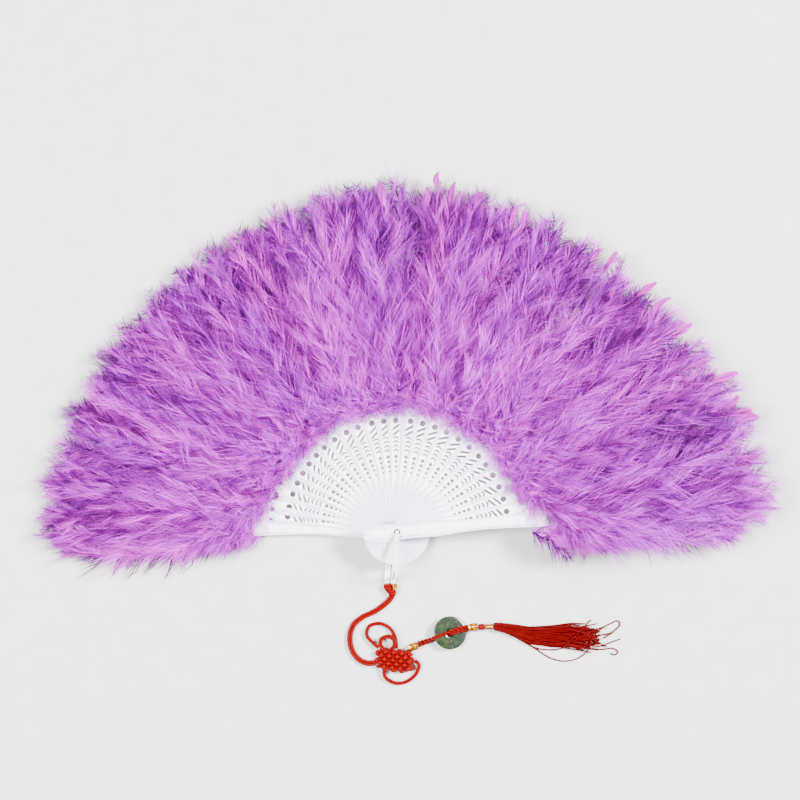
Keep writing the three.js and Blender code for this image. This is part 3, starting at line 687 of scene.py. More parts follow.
def stone_finish():
    """Clouded greens from noise whose place is pushed by other noise, with broad painted shadows, darker
    and cooler, where a broad noise is low, and rust flecks where a fine one is high."""
    recipe = Recipe("green_stone")
    warp = recipe.noise(recipe.place(), 190.0, 3.0)
    push = Wire(recipe, warp.socket.node.outputs["Color"])
    values = {0: push, 1: (0.008, 0.008, 0.008), 2: recipe.place()}
    pushed = recipe.node("ShaderNodeVectorMath", {"operation": "MULTIPLY_ADD"}, values)
    cloud = recipe.noise(pushed, 230.0, 5.0, 0.6)
    fleck = recipe.noise(recipe.place(), 620.0, 2.0)
    broad = recipe.noise(recipe.place(), 62.0, 2.0)
    green = recipe.ramp(cloud, [
        (0.3, paint(7, 15, 6)), (0.46, paint(19, 35, 10)), (0.58, paint(32, 48, 16)),
        (0.72, paint(72, 80, 38)),
    ])
    # painted shadow: where a broad noise is low, the greens turn darker and cooler
    shadow_patch = recipe.ramp(broad, [(0.44, WHITE), (0.56, BLACK)])
    shadowed = recipe.mix(shadow_patch * 0.7, green, paint(12, 27, 22))
    rust = recipe.ramp(fleck, [(0.66, BLACK), (0.74, WHITE)])
    colour = recipe.mix(rust, shadowed, paint(84, 54, 30))
    normal = recipe.bump(cloud, 0.00004, 0.5)
    return recipe.surface(
        Base_Color=colour, Roughness=0.16 + fleck * 0.16, Normal=normal, Coat_Weight=0.35,
        Coat_Roughness=0.12,
    )


green_stone = stone_finish()
DISC_CENTRE = from_pivot([[38, -74.3, 2.2]])[0]
DISC_RADIUS, DISC_HOLE, DISC_THICKNESS = 12 * MM, 2.8 * MM, 2.9 * MM
DISC_LEAN, DISC_TURN = 9.6, 20.8


def ring_section(hole, radius, thickness, edge, count):
    """A closed section of (height, radius): a rectangle whose corners are rounded as a superellipse,
    with cosine and sine taken to a small power and their signs kept."""
    turn = np.linspace(0, 2 * np.pi, count, endpoint=False)
    power = 2 * edge
    across = np.sign(np.cos(turn)) * np.abs(np.cos(turn)) ** power
    above = np.sign(np.sin(turn)) * np.abs(np.sin(turn)) ** power
    middle, half = (hole + radius) / 2, (radius - hole) / 2
    return np.stack([thickness / 2 * (1 + above), middle + half * across], axis=-1)


def turned_ring(section, sides):
    """A closed section carried once round the vertical axis, so the grid closes both ways."""
    height, radius = section.T
    turn = np.linspace(0, 2 * np.pi, sides, endpoint=False)[:, None]
    x, y = radius * np.cos(turn), radius * np.sin(turn)
    return np.stack([x, y, np.broadcast_to(height, x.shape)], axis=-1)


def ring_skin(shape):
    """Quads of a grid that closes both ways."""
    index = np.arange(shape[0] * shape[1]).reshape(shape)
    onward, beside = np.roll(index, -1, axis=0), np.roll(index, -1, axis=1)
    return [np.stack([index, onward, np.roll(onward, -1, axis=1), beside], axis=-1).reshape(-1, 4)]


def ring_map(shape):
    """Texture places of those quads: each number runs from 0 to 1, once round its own way."""
    first, second = np.meshgrid(np.arange(shape[0]), np.arange(shape[1]), indexing="ij")
    u = np.stack([first, first + 1, first + 1, first], axis=-1) / shape[0]
    v = np.stack([second, second, second + 1, second + 1], axis=-1) / shape[1]
    return np.stack([u, v], axis=-1).reshape(-1, 2)


disc = turned_ring(ring_section(DISC_HOLE, DISC_RADIUS, DISC_THICKNESS, 0.16, 44), 112)
lean = np.radians(DISC_LEAN)
x, y, z = disc[..., 0], disc[..., 1], disc[..., 2]
tilted = np.stack([x * np.cos(lean) + z * np.sin(lean), y, z * np.cos(lean) - x * np.sin(lean)], axis=-1)
stone = tilted, ring_skin(disc.shape[:2]), ring_map(disc.shape[:2])
make("jade_disc_polished", moved(stone, DISC_CENTRE, DISC_TURN), green_stone, ["jade_disc"])

# %% [markdown]
# The tassel hangs from a small knot and a wrap of gold thread. The knot is three turns of cord and the
# wrap seven turns of thin thread, both wound as coils round a plain core. The tie's gold wrap is a
# coil of four turns.

# %% The tassel's neck
NECK_CENTRE = from_pivot([[61.2, -69.9, 3.7]])[0]
WRAP_CENTRE = from_pivot([[66.6, -69.9, 3.2]])[0]
TIE_WRAP_CENTRE = from_pivot([[-1.9, -40.6, 3.4]])[0]
NECK_ANGLE, TIE_WRAP_ANGLE = 1, 100
GOLD_THREAD = 0.36 * MM


def wound(length, radius, thread, turns, count):
    """A coil about the X axis: the path runs evenly along, at the radius, round by so many turns."""
    share = np.linspace(0, 1, count)
    turn = 2 * np.pi * turns * share
    path = np.stack([(share - 0.5) * length, radius * np.cos(turn), radius * np.sin(turn)], axis=-1)
    return whole(tube(path, thread, 8, SIDEWAYS), path_length(path))


neck_core = whole(turned(barrel_profile(4.1 * MM, 1.5 * MM, 0.5, 12), 16))
neck = gather([wound(2.5 * MM, 1.45 * MM, 0.88 * MM, 3, 90), neck_core])
make("tassel_neck_turns", moved(neck, NECK_CENTRE, NECK_ANGLE), red_satin, ["tassel_neck_knot"])
wrap_core = whole(turned(barrel_profile(5.4 * MM, 1.7 * MM, 0.8, 12), 20))
wrap = gather([wound(4.7 * MM, 1.75 * MM, GOLD_THREAD, 7, 220), wrap_core])
make("tassel_wrap_wound", moved(wrap, WRAP_CENTRE, NECK_ANGLE), gold, ["tassel_wrap"])
tie_wrap = wound(3.2 * MM, 1.9 * MM, GOLD_THREAD, 4, 130)
make("loop_tie_gold", moved(tie_wrap, TIE_WRAP_CENTRE, TIE_WRAP_ANGLE), gold, ["loop_tie"])

# %% [markdown]
# The tassel's strands are fine twisted satin threads. A hundred and twenty leave the wrap together,
# spread into a flat bunch that leans towards the near side, and end unevenly; seven long ones stray
# in loops and cross the rest. The bunch is one array of paths, and the strays are listed routes.
# All places are in millimetres from the pivot's foot.

# %% The tassel's strands
rng = np.random.default_rng(7)
BUNCH, STATIONS = 120, 24
BUNCH_START, NEAREST_END, END_SPREAD = 70.2, 132, 16
EDGE_PLACES = [70, 76, 85, 96, 112, 126, 140, 156]
TOP_EDGE = [-67.2, -67.6, -68.8, -70.2, -70.2, -69.4, -71, -72]
LOW_EDGE = [-72.2, -73.6, -76.9, -82, -84.2, -84.8, -84.2, -82]


def bunch_paths(count, stations):
    """Paths from the wrap outwards: across, a path keeps its own share between the bunch's two edges,
    plus a slow sine of its own; upwards, it falls from the wrap to its own height on the table."""
    share = rng.random((count, 1))
    end = NEAREST_END + END_SPREAD * rng.random((count, 1)) ** 1.5
    s = np.linspace(0, 1, stations)[None, :]
    x = BUNCH_START + (end - BUNCH_START) * s
    high = np.interp(x, EDGE_PLACES, TOP_EDGE)
    low = np.interp(x, EDGE_PLACES, LOW_EDGE)
    phase = rng.random((count, 1))
    pace = 0.5 + 0.9 * rng.random((count, 1))
    wander = 1.5 * np.sin(2 * np.pi * (phase + s * pace)) * s
    flick = (rng.random((count, 1)) - 0.5) * 9 * s**5
    y = high + (low - high) * share + wander + flick
    ring = 1.7 * np.sqrt(rng.random((count, 1)))
    start = 3.2 + ring * np.sin(2 * np.pi * rng.random((count, 1)))
    rest = 0.75 + 3.0 * rng.random((count, 1)) ** 1.3
    z = start + (rest - start) * np.minimum(1, s * 2.6) ** 0.7
    return from_pivot(np.stack([x, y, z], axis=-1))


STRAYS = [
    [[77.8, -73.4, 2.4], [85.5, -77.5, 1.4], [99.9, -85.7, 0.8], [112.2, -93.2, 0.8], [122.4, -95, 0.8],
     [131.8, -92.6, 1], [138, -86.7, 4], [141, -78.5, 5], [146.2, -72.7, 3.4], [154.8, -67.7, 1.6],
     [160.6, -65.9, 1], [161.6, -67.7, 1], [157.7, -72.7, 1.8], [149, -78.5, 3]],
    [[81.4, -75.6, 2], [89.6, -79.5, 1.2], [99.9, -85.2, 1], [112.2, -86.7, 1.2], [119.4, -85.2, 4.6],
     [127.7, -77.5, 5.6], [134.9, -70.3, 4], [140.5, -65.1, 1]],
    [[100, -76, 4], [117.4, -78.5, 4.8], [135.4, -82.1, 4.4], [146.2, -84.2, 2.4],
     [154.8, -81.4, 1.4], [161.8, -79, 0.9]],
    [[100, -78, 4], [121, -82.1, 4.6], [139, -85.7, 2.4], [149.8, -86.4, 1.2], [156.2, -85.7, 1],
     [160.1, -88.2, 0.9], [157.9, -90.6, 0.9], [154.8, -89.3, 1]],
    [[98, -74, 4.4], [120, -75, 5], [136, -79, 4.6], [148, -76, 2], [156, -74.5, 1]],
    [[98, -72, 4], [118, -71.5, 4.8], [134, -74, 4.8], [145, -81, 3], [152, -84.6, 1.2]],
    [[100, -80, 3.4], [118, -82, 4.6], [132, -78, 5.2], [144, -72, 2.4], [150, -70.4, 1]],
]
THREAD_RADIUS = 0.46 * MM
grid, faces, places = whole(tube(bunch_paths(BUNCH, STATIONS), THREAD_RADIUS, 5), 75 * MM)
corners_each = 4 * (grid.shape[1] - 1) * grid.shape[2]
places[:BUNCH * corners_each, 0] += np.repeat(rng.uniform(0, 900, BUNCH), corners_each)
threads = [(grid, faces, places)]
for route in STRAYS:
    path = smooth_path(from_pivot(route), 70)
    threads.append(whole(tube(path, THREAD_RADIUS * 1.1, 6), path_length(path)))
make("tassel_strands_loose", gather(threads), red_thread, ["tassel_strands"])

# %% [markdown]
# The staves are injection-moulded plastic, pearly white with a faint lilac cast, a painted reflection
# of the feathers.
# Light goes a little way into such plastic, so the material has some subsurface scattering, and the
# moulded surface is smooth with a very slight ripple.

# %% Pearl plastic


def pearl_finish(name, crown_height):
    """The map's second number runs from -1 at one edge to 1 at the other. The crown is one minus its
    square, as a bump, and its eighth power tints the thin edges lilac: painted shade, and partly the
    thin plastic's own translucency, where less light comes back."""
    recipe = Recipe(name)
    broad = recipe.noise(recipe.place(), 45.0, 2.0)
    fine = recipe.noise(recipe.place(), 420.0, 3.0)
    _, across = recipe.lay_numbers()
    square = across * across
    edge = square * square * square * square
    # painted reflection: the near-white body colours carry a faint lilac cast from the feathers
    body = recipe.ramp(broad, [(0.3, paint(240, 236, 248)), (0.7, paint(254, 253, 255))])
    # painted shade on the thin edges, partly the plastic's translucency: the edge mask mixes in a greyish
    # lilac
    colour = recipe.mix(edge * 0.75, body, paint(196, 186, 218))
    rough = 0.26 + fine * 0.16
    crown = recipe.bump(1.0 - square, crown_height)
    values = {"Height": broad * 0.8 + fine * 0.2, "Distance": 0.00012, "Strength": 0.5, "Normal": crown}
    normal = recipe.node("ShaderNodeBump", None, values)
    return recipe.surface(
        Base_Color=colour, Roughness=rough, Normal=normal, Coat_Weight=0.25, Coat_Roughness=0.15,
        Subsurface_Weight=0.15, Subsurface_Scale=0.0015,
    )


pearl_stick = pearl_finish("pearl_stick", 0.0009)
pearl_guard = pearl_finish("pearl_guard", 0.0014)

# %% [markdown]
# An inner stick is a flat plate with a rounded head, a waist, and a pierced gorge: four lozenges, four
# arrow heads, two slanting slots and a round eye. Its outline is the smooth curve through the model's
# own points. A plate is made from its outline and its holes: Blender's tessellate_polygon fills the
# face between them, the same triangles face down underneath, and a strip of quads walls each edge. A
# Bevel modifier then rounds every edge, which is what makes moulded plastic look moulded.

# %% Outlines of the staves
HEAD_SHARES = np.array([[-1, 0], [-0.97, 0.4], [-0.82, 0.86], [-0.5, 1], [-0.1, 0.93]])
HEAD_SIZE = np.array([24.2, 6.4]) * MM
GORGE_SHARES = np.array([
    [0.13, 0.86], [0.33, 0.97], [0.46, 0.66], [0.57, 0.62], [0.77, 0.83], [0.95, 0.98], [1, 0.9],
])
GORGE_SIZE = np.array([88, 6.4]) * MM
GUARD_SHARES = np.array([
    [0.06, 0.85], [0.157, 0.91], [0.25, 0.72], [0.34, 0.66], [0.42, 0.75], [0.58, 0.97], [0.7, 0.95],
    [0.86, 0.78], [0.97, 0.46], [1, 0],
])
GUARD_SIZE = np.array([185, 6.2]) * MM
TANG = np.array([[88.6, 4.9], [89.4, 3.8], [91, 2.5], [125, 1.95], [159.4, 1.4], [160, 0.9]]) * MM
BORE_RADIUS = 3.1 * MM
EYE_CENTRE, EYE_RADIUS = 79.6 * MM, 2.15 * MM
LOZENGE = np.array([
    [1.6, 0], [0.9, 0.9], [0, 1.5], [-0.9, 0.9], [-1.6, 0], [-0.9, -0.9], [0, -1.5], [0.9, -0.9],
])


def edge_curve(body_shares, body_size, count):
    """One side of a stave from the head's end outwards. The curve is the uniform one: between two
    points it is the cubic whose end slopes are half the step between the neighbours."""
    points = np.concatenate([HEAD_SHARES * HEAD_SIZE, body_shares * body_size])
    place = np.linspace(0, len(points) - 1, count)
    first = np.clip(place.astype(int), 0, len(points) - 2)
    s = (place - first)[:, None]
    before, after = points[np.maximum(first - 1, 0)], points[np.minimum(first + 2, len(points) - 1)]
    start, end = points[first], points[first + 1]
    left, right = (end - before) / 2, (after - start) / 2
    return (
        (2 * s**3 - 3 * s**2 + 1) * start
        + (s**3 - 2 * s**2 + s) * left
        + (3 * s**2 - 2 * s**3) * end
        + (s**3 - s**2) * right
    )


def mirrored(side):
    """A side and its mirror image as one closed outline, counter-clockwise."""
    inner = side[side[:, 1] > 1e-7]
    return np.concatenate([side[::-1], inner * [1, -1]])


def circle(centre, radius, count):
    """A round hole with its centre on the stave's middle line."""
    turn = np.linspace(0, 2 * np.pi, count, endpoint=False)
    return np.stack([centre + radius * np.cos(turn), radius * np.sin(turn)], axis=-1)


def lozenge(number):
    """Lozenges follow each other every 3.5 mm and grow outwards."""
    size = (0.6 + 0.4 * number / 3) * MM
    return LOZENGE * size + [(43.2 + number * 3.5) * MM, 0]


def arrow_head(number):
    """Arrow heads follow each other every 3.05 mm, point outwards and widen."""
    tail = 57.6 + number * 3.05 - 0.65
    wide = 1.85 + 0.1 * number
    outline = [
        [tail, -wide], [tail + 1.4, -wide], [tail + 2.7, 0], [tail + 1.4, wide], [tail, wide], [tail + 1.3, 0],
    ]
    return np.array(outline) * MM


def slanting_slot(number):
    """Two slots 4 mm apart that slant across the stick."""
    centre = 70.8 + number * 4
    wide = 2.7 + 0.2 * number
    return np.array([[centre - 3, wide], [centre + 1, -wide], [centre + 3, -wide], [centre - 1, wide]]) * MM


def plate(outline, holes, floor, thickness):
    """A flat plate: the points are the outline and the holes at the top and again at the bottom."""
    loops = [outline, *holes]
    flat = np.concatenate(loops)
    count = len(flat)
    triangles = np.array(tessellate_polygon([[(*point, 0.0) for point in loop] for loop in loops]))
    corners = flat[triangles]
    first, second = corners[:, 1] - corners[:, 0], corners[:, 2] - corners[:, 0]
    area = first[:, 0] * second[:, 1] - first[:, 1] * second[:, 0]
    triangles[area < 0] = triangles[area < 0][:, ::-1]
    triangles = triangles[np.abs(area) > 1e-14]
    walls, start = [], 0
    for number, loop in enumerate(loops):
        ring = start + np.arange(len(loop))
        step = np.roll(ring, -1)
        x, y = loop.T
        counter_clockwise = (x * np.roll(y, -1) - np.roll(x, -1) * y).sum() > 0
        if counter_clockwise != (number == 0):
            ring, step = step, ring
        walls.append(np.stack([ring + count, step + count, step, ring], axis=-1))
        start += len(loop)
    top = np.column_stack([flat, np.full(count, floor + thickness)])
    bottom = np.column_stack([flat, np.full(count, floor)])
    return np.concatenate([top, bottom]), [triangles, triangles[:, ::-1] + count, *walls]


def round_edges(piece, width, segments):
    """A Bevel modifier on edges sharper than 40 degrees, with normals that keep the flats flat."""
    bevel = piece.modifiers.new("rounded_edges", "BEVEL")
    bevel.width = width
    bevel.segments = segments
    bevel.limit_method = "ANGLE"
    bevel.angle_limit = np.radians(40)
    bevel.harden_normals = True


def stave_map(points, faces, side):
    """Texture places for a stave: millimetres outwards, and the distance across over half the stave's
    width there, which is read off the outline."""
    half_width = np.interp(points[:, 0], side[:, 0], np.maximum(side[:, 1], 0.2 * MM))
    places = np.stack([points[:, 0] / MM, points[:, 1] / half_width], axis=-1)
    return places[np.concatenate([face.ravel() for face in faces])]


stick_side = np.concatenate([edge_curve(GORGE_SHARES, GORGE_SIZE, 90), TANG])
stick_outline = mirrored(stick_side)
stick_holes = [
    circle(0, BORE_RADIUS, 28), *[lozenge(n) for n in range(4)], *[arrow_head(n) for n in range(4)],
    *[slanting_slot(n) for n in range(2)], circle(EYE_CENTRE, EYE_RADIUS, 20),
]
for stave in range(1, FRONT):
    points, faces = plate(stick_outline, stick_holes, STAVE_FLOORS[stave], STICK_THICKNESS)
    part = on_stave(points, stave), faces, stave_map(points, faces, stick_side)
    name = f"stick_{stave:02d}"
    stick = make(name + "_moulded", part, pearl_stick, [name], body_of_stave(stave))
    round_edges(stick, 0.14 * MM, 2)

# %% [markdown]
# The two guards are thicker and plain, with a low flat land where the thumb rests. The land is a
# second plate that stands a little proud of the first. The rear guard is the same part turned over.

# %% The guards
LAND_START, LAND_END, LAND_RISE = 16 * MM, 84 * MM, 0.4 * MM
LAND_TIPS = 14.4 * MM, 85.8 * MM


def guard_part(turned_over):
    """The body and the land of a guard lying on its floor, or turned over on it."""
    side = edge_curve(GUARD_SHARES, GUARD_SIZE, 120)
    body = plate(mirrored(side), [circle(0, BORE_RADIUS, 32)], 0, GUARD_THICKNESS)
    inner = side[(side[:, 0] > LAND_START) & (side[:, 0] < LAND_END)] * [1, 0.74]
    tips = [[[tip, inner[end, 1] * 0.45]] for tip, end in zip(LAND_TIPS, (0, -1))]
    land = np.concatenate([tips[0], inner, tips[1]])
    outline = np.concatenate([land[::-1], land * [1, -1]])
    raised = plate(outline, [], GUARD_THICKNESS * 0.8, GUARD_THICKNESS * 0.2 + LAND_RISE)
    parts = []
    for points, faces in (body, raised):
        if turned_over:
            points = points * [1, -1, -1] + [0, 0, GUARD_THICKNESS]
        parts.append((points, faces, stave_map(points, faces, side)))
    return gather(parts)


for stave, name in ((0, "rear_guard"), (FRONT, "front_guard")):
    points, faces, places = guard_part(stave == 0)
    part = on_stave(points + [0, 0, STAVE_FLOORS[stave]], stave), faces, places
    guard = make(name + "_moulded", part, pearl_guard, [name], body_of_stave(stave))
    round_edges(guard, 0.5 * MM, 4)

# %% [markdown]
# A hollow plastic eyelet holds the staves. No metal shows in the photograph, so it is milky ivory, and
# its flanges are rolled over at both ends. The section is one closed curve turned about the pivot.

# %% The eyelet
# radii and heights in millimetres
BORE, TUBE, FLANGE = 2.3, 2.9, 3.1
CURL_WIDE, CURL_HIGH = 0.7, 0.55
LOW_END, HIGH_END = 4.9, 26.4


def ivory_finish():
    """Milky plastic with faint clouds, into which light goes a little way."""
    recipe = Recipe("ivory_plastic")
    cloud = recipe.noise(recipe.place(), 260.0, 3.0)
    colour = recipe.ramp(cloud, [(0.3, paint(232, 226, 214)), (0.7, paint(248, 245, 238))])
    normal = recipe.bump(cloud, 0.00006, 0.4)
    return recipe.surface(
        Base_Color=colour, Roughness=0.24 + cloud * 0.16, Normal=normal, Subsurface_Weight=0.15,
        Subsurface_Scale=0.0015,
    )


curl = np.linspace(0, np.pi, 9)
upper = np.stack([FLANGE + CURL_WIDE * np.cos(curl), HIGH_END + 0.05 + CURL_HIGH * np.sin(curl)], axis=-1)
lower = np.stack([FLANGE - CURL_WIDE * np.cos(curl), LOW_END - 0.05 - CURL_HIGH * np.sin(curl)], axis=-1)
outside, inside = [[TUBE, LOW_END], [TUBE, HIGH_END]], [[BORE, HIGH_END], [BORE, LOW_END]]
section = np.concatenate([outside, upper, inside, lower])[:, ::-1] * MM
eyelet = turned_ring(section, 56) + PIVOT
part = eyelet, ring_skin(eyelet.shape[:2]), None
make("pivot_eyelet_rolled", part, ivory_finish(), ["pivot_eyelet"])

# %% [markdown]
# A sheer ribbon is glued from stave to stave just inside the feathers, and keeps the sticks at their
# distances. Real ribbon folds up between them as the fan closes. Here each span between two staves is
# its own thin strip that rides on the upper stave, so the spans stack as the staves do.

# %% The link ribbon
RIBBON_INNER, RIBBON_OUTER, RIBBON_THICKNESS = 92.5 * MM, 104 * MM, 0.22 * MM
START_LIFT, END_LIFT, SAG = 0.35 * MM, 0.3 * MM, 0.08 * MM
PAST_GUARD, GUARD_EDGE = 2.6, 3.8


def ribbon_finish():
    """Warp and weft: a sine along the span times a sine across it, both from 0 to 1."""
    recipe = Recipe("sheer_ribbon")
    along, across = recipe.lay_numbers()
    weave = ((along * 9.0).sine() * 0.5 + 0.5) * ((across * 150.0).sine() * 0.5 + 0.5)
    colour = recipe.ramp(weave, [(0.1, paint(236, 206, 240)), (0.8, paint(253, 244, 253))])
    normal = recipe.bump(weave, 0.00006, 0.6)
    return recipe.surface(Base_Color=colour, Roughness=0.45 + weave * 0.2, Normal=normal, Alpha=0.6)


ribbon = ribbon_finish()


def ribbon_span(start_angle, end_angle, start_height, end_height, stations, sag):
    """A thin strip from one direction to another: the height runs evenly between its two ends, less a
    sag of one arch of a sine, and the section is a flat band closed round its two edges."""
    share = np.linspace(0, 1, stations)[:, None]
    angle = np.radians(start_angle + (end_angle - start_angle) * share)
    across = np.linspace(0, 1, 9)
    there = RIBBON_OUTER + (RIBBON_INNER - RIBBON_OUTER) * across
    radius = np.concatenate([there, there[::-1]])[None, :]
    lift = np.concatenate([np.full(9, RIBBON_THICKNESS), np.zeros(9)])[None, :]
    height = start_height + (end_height - start_height) * share - sag * np.sin(np.pi * share) + lift
    height = height + 0 * radius
    return np.stack([radius * np.cos(angle), radius * np.sin(angle), height], axis=-1) + PIVOT


thickness = np.where(np.isin(np.arange(STAVES), (0, FRONT)), GUARD_THICKNESS, STICK_THICKNESS)
tops = STAVE_FLOORS + thickness
for stave in range(1, STAVES):
    before, here = STAVE_ANGLES[stave - 1], STAVE_ANGLES[stave]
    start_height, end_height = tops[stave - 1] + START_LIFT, tops[stave] + END_LIFT
    start_angle = REAR_ANGLE + PAST_GUARD if stave == 1 else before
    if stave == FRONT:
        climb = ribbon_span(start_angle, here + GUARD_EDGE, start_height, end_height, 8, 0)
        over = ribbon_span(here + GUARD_EDGE, here - PAST_GUARD, end_height, end_height, 10, 0)
        grid = np.concatenate([climb[:-1], over])
    else:
        grid = ribbon_span(start_angle, here, start_height, end_height, 10, SAG)
    span = whole(grid, float(np.linalg.norm(grid[-1, 0] - grid[0, 0])))
    replaced = ["link_ribbon"] if stave == FRONT else []
    make(f"ribbon_span_{stave:02d}", span, ribbon, replaced, body_of_stave(stave))

# %% [markdown]
# The feathers are dyed marabou down: a thin soft shaft with hundreds of fine silky barbs. Hair
# particles would look right but are not used here, and a flat picture of a feather has no depth. So
# each barb is a real spike: two rings of three points and a tip, bent in the middle. A spike has only
# seven faces, so a plume can hold thousands of them.
#
# Colour is kept as two numbers on every point: how light its lock is, and how far out along the barb
# it lies. The lightness holds painted shade and painted highlight besides the locks' own tones. The
# finish looks both up in two rows of dyes: the first four colours belong to the bluer feathers and the
# next four to the pinker ones, each from the violet of the shaded depth to bright orchid, and the last
# two are the pale pink of the shafts and the mauve of the stiff vane tips. The inner row, at the
# barbs' roots, is darker than the outer one: painted shade deep in the down. The same two numbers
# serve as the piece's texture places.

# %% Dyed down
BARB_STOPS = (0.0, 0.45, 1.0)
HIGHEST_BARB = 48.5 * MM
SHAFT_SHADE, VANE_SHADE = 0.9, 0.985
DYE_AND_SHADE_STOPS = (0.02, 0.14, 0.27, 0.4, 0.44, 0.58, 0.71, 0.84, 0.9, 0.97)
# the inner row is the outer row darkened: painted shade deep in the down at the barbs' roots
ROOT_DYES_SHADED = [
    (38, 0, 54), (80, 0, 104), (146, 0, 172), (226, 16, 250), (54, 0, 60), (104, 0, 116),
    (172, 0, 180), (240, 24, 242), (244, 120, 246), (150, 10, 148),
]
TIP_DYES_LIT = [
    (60, 0, 80), (122, 0, 150), (196, 2, 224), (248, 62, 255), (78, 0, 86), (150, 0, 158),
    (222, 6, 222), (255, 74, 252), (240, 100, 240), (168, 26, 150),
]


def down_finish():
    """The colour goes from the inner row of dyes, darker as painted shade at the roots, to the outer row
    as the barb goes out.
    """
    recipe = Recipe("dyed_down")
    shade = recipe.node("ShaderNodeAttribute", {"attribute_name": "shade"}, output=2)
    reach = recipe.node("ShaderNodeAttribute", {"attribute_name": "reach"}, output=2)
    inner, outer = [
        recipe.ramp(shade, [(place, paint(*dye)) for place, dye in zip(DYE_AND_SHADE_STOPS, dyes)])
        for dyes in (ROOT_DYES_SHADED, TIP_DYES_LIT)
    ]
    colour = recipe.mix(reach, inner, outer)
    # painted light: a faint emission in the down's own colour lifts its shadows
    return recipe.surface(
        Base_Color=colour, Roughness=0.5 + shade * 0.2, Sheen_Weight=0.04, Sheen_Roughness=0.4,
        Sheen_Tint=paint(240, 90, 250), Emission_Color=colour, Emission_Strength=0.03,
        Specular_IOR_Level=0.08,
    )


down = down_finish()


def spikes(root, start, end, length, width, shade):
    """A bent spike for every barb. Its line is the root plus its length times (s times the start
    direction plus half of s squared times the step from the start to the end direction), kept above
    the table and below the highest barb. Round it at two places stand rings of three points, and the
    third place is the tip."""
    s = np.array(BARB_STOPS)[None, :, None]
    line = root[:, None] + length[:, None, None] * (
        start[:, None] * s + (end - start)[:, None] * s**2 / 2
    )
    lowest = 0.5 * MM + 0.06 * length[:, None]
    line[..., 2] = np.clip(line[..., 2], lowest, HIGHEST_BARB - lowest)
    tangent = unit(start[:, None] + (end - start)[:, None] * s)
    side = unit(np.cross(UP + [0.02, 0.03, 0], tangent))
    lift = np.cross(tangent, side)
    turn = np.radians([90, 210, 330])[:, None]
    ring = side[:, :2, None] * np.cos(turn) + 0.7 * lift[:, :2, None] * np.sin(turn)
    narrow = np.array([1.0, 0.85])[None, :, None, None]
    rings = line[:, :2, None] + ring * (width[:, None, None, None] / 2) * narrow
    count = len(root)
    points = np.concatenate([rings.reshape(count, 6, 3), line[:, 2:]], axis=1)
    reach = np.repeat(BARB_STOPS, [3, 3, 1])
    return points, np.broadcast_to(reach, (count, 7)), np.broadcast_to(shade[:, None], (count, 7))


def spike_faces(count):
    """Seven faces a spike: three quads between the rings, three triangles to the tip, one at the root."""
    base = (7 * np.arange(count))[:, None, None]
    k, n = np.arange(3), (np.arange(3) + 1) % 3
    quads = np.stack([k, n, 3 + n, 3 + k], axis=-1)
    tips = np.stack([3 + k, 3 + n, np.full(3, 6)], axis=-1)
    roots = np.array([[2, 1, 0]])
    return [(base + faces).reshape(-1, faces.shape[1]) for faces in (quads, tips, roots)]


# %% [markdown]
# A plume is a handful of feathers on one stave: long ones underneath and on top, shorter ones over
# them, and small ones and curled fluff where the feathers begin. Each feather is a row of numbers,
# and its shaft is a curve worked out from them. Below, the first table says what each kind is like.
# Lengths are in millimetres and angles in degrees.

# %% Feathers of a plume
PLUME_REACH = 255
REACH_SHARES = [1.03, 1.01, 0.99, 0.98, 0.98, 0.98, 0.99, 1, 1, 0.995, 1, 1.01, 1.03, 1.06, 1.09]
START_ANGLES = [0, 6, 11, 17, 30, 60, 90, 120, 150, 165, 172, 180]
START_RADII = [114, 111, 95, 90, 87, 87, 87, 87, 89, 93, 97, 110]
KINDS = {
    # feathers, barbs a side, barb length, first and last opening angle, lightness, tilt, barb width
    # the under feathers' lightness of -0.3 is painted shade, as they lie beneath the rest
    "under": (4, 75, 26, 64, 48, -0.3, -6, 3.7),
    "rim": (5, 120, 19, 50, 34, 0.0, 6, 1.0),
    "over": (3, 195, 32, 42, 22, 0.0, 22, 1.06),
    "middle": (4, 135, 29, 42, 22, 0.05, 24, 1.07),
    "small": (4, 90, 22, 54, 32, 0.08, 22, 1.08),
    "fluff": (6, 45, 14, 135, 60, 0.04, 15, 0.9),
    "wisps": (4, 30, 23, 165, 104, 0.25, 10, 0.6),
    "low": (7, 105, 18, 58, 40, 0.14, -4, 1.4),
}
SPREADS, USUAL_SPREAD = {0: (-10, 24), FRONT: (12, -31)}, (-13, 13)
LOW_SPREADS = {0: (8, 26), FRONT: (-31, -25)}
LOCK = 15
ROUNDING = 0.05


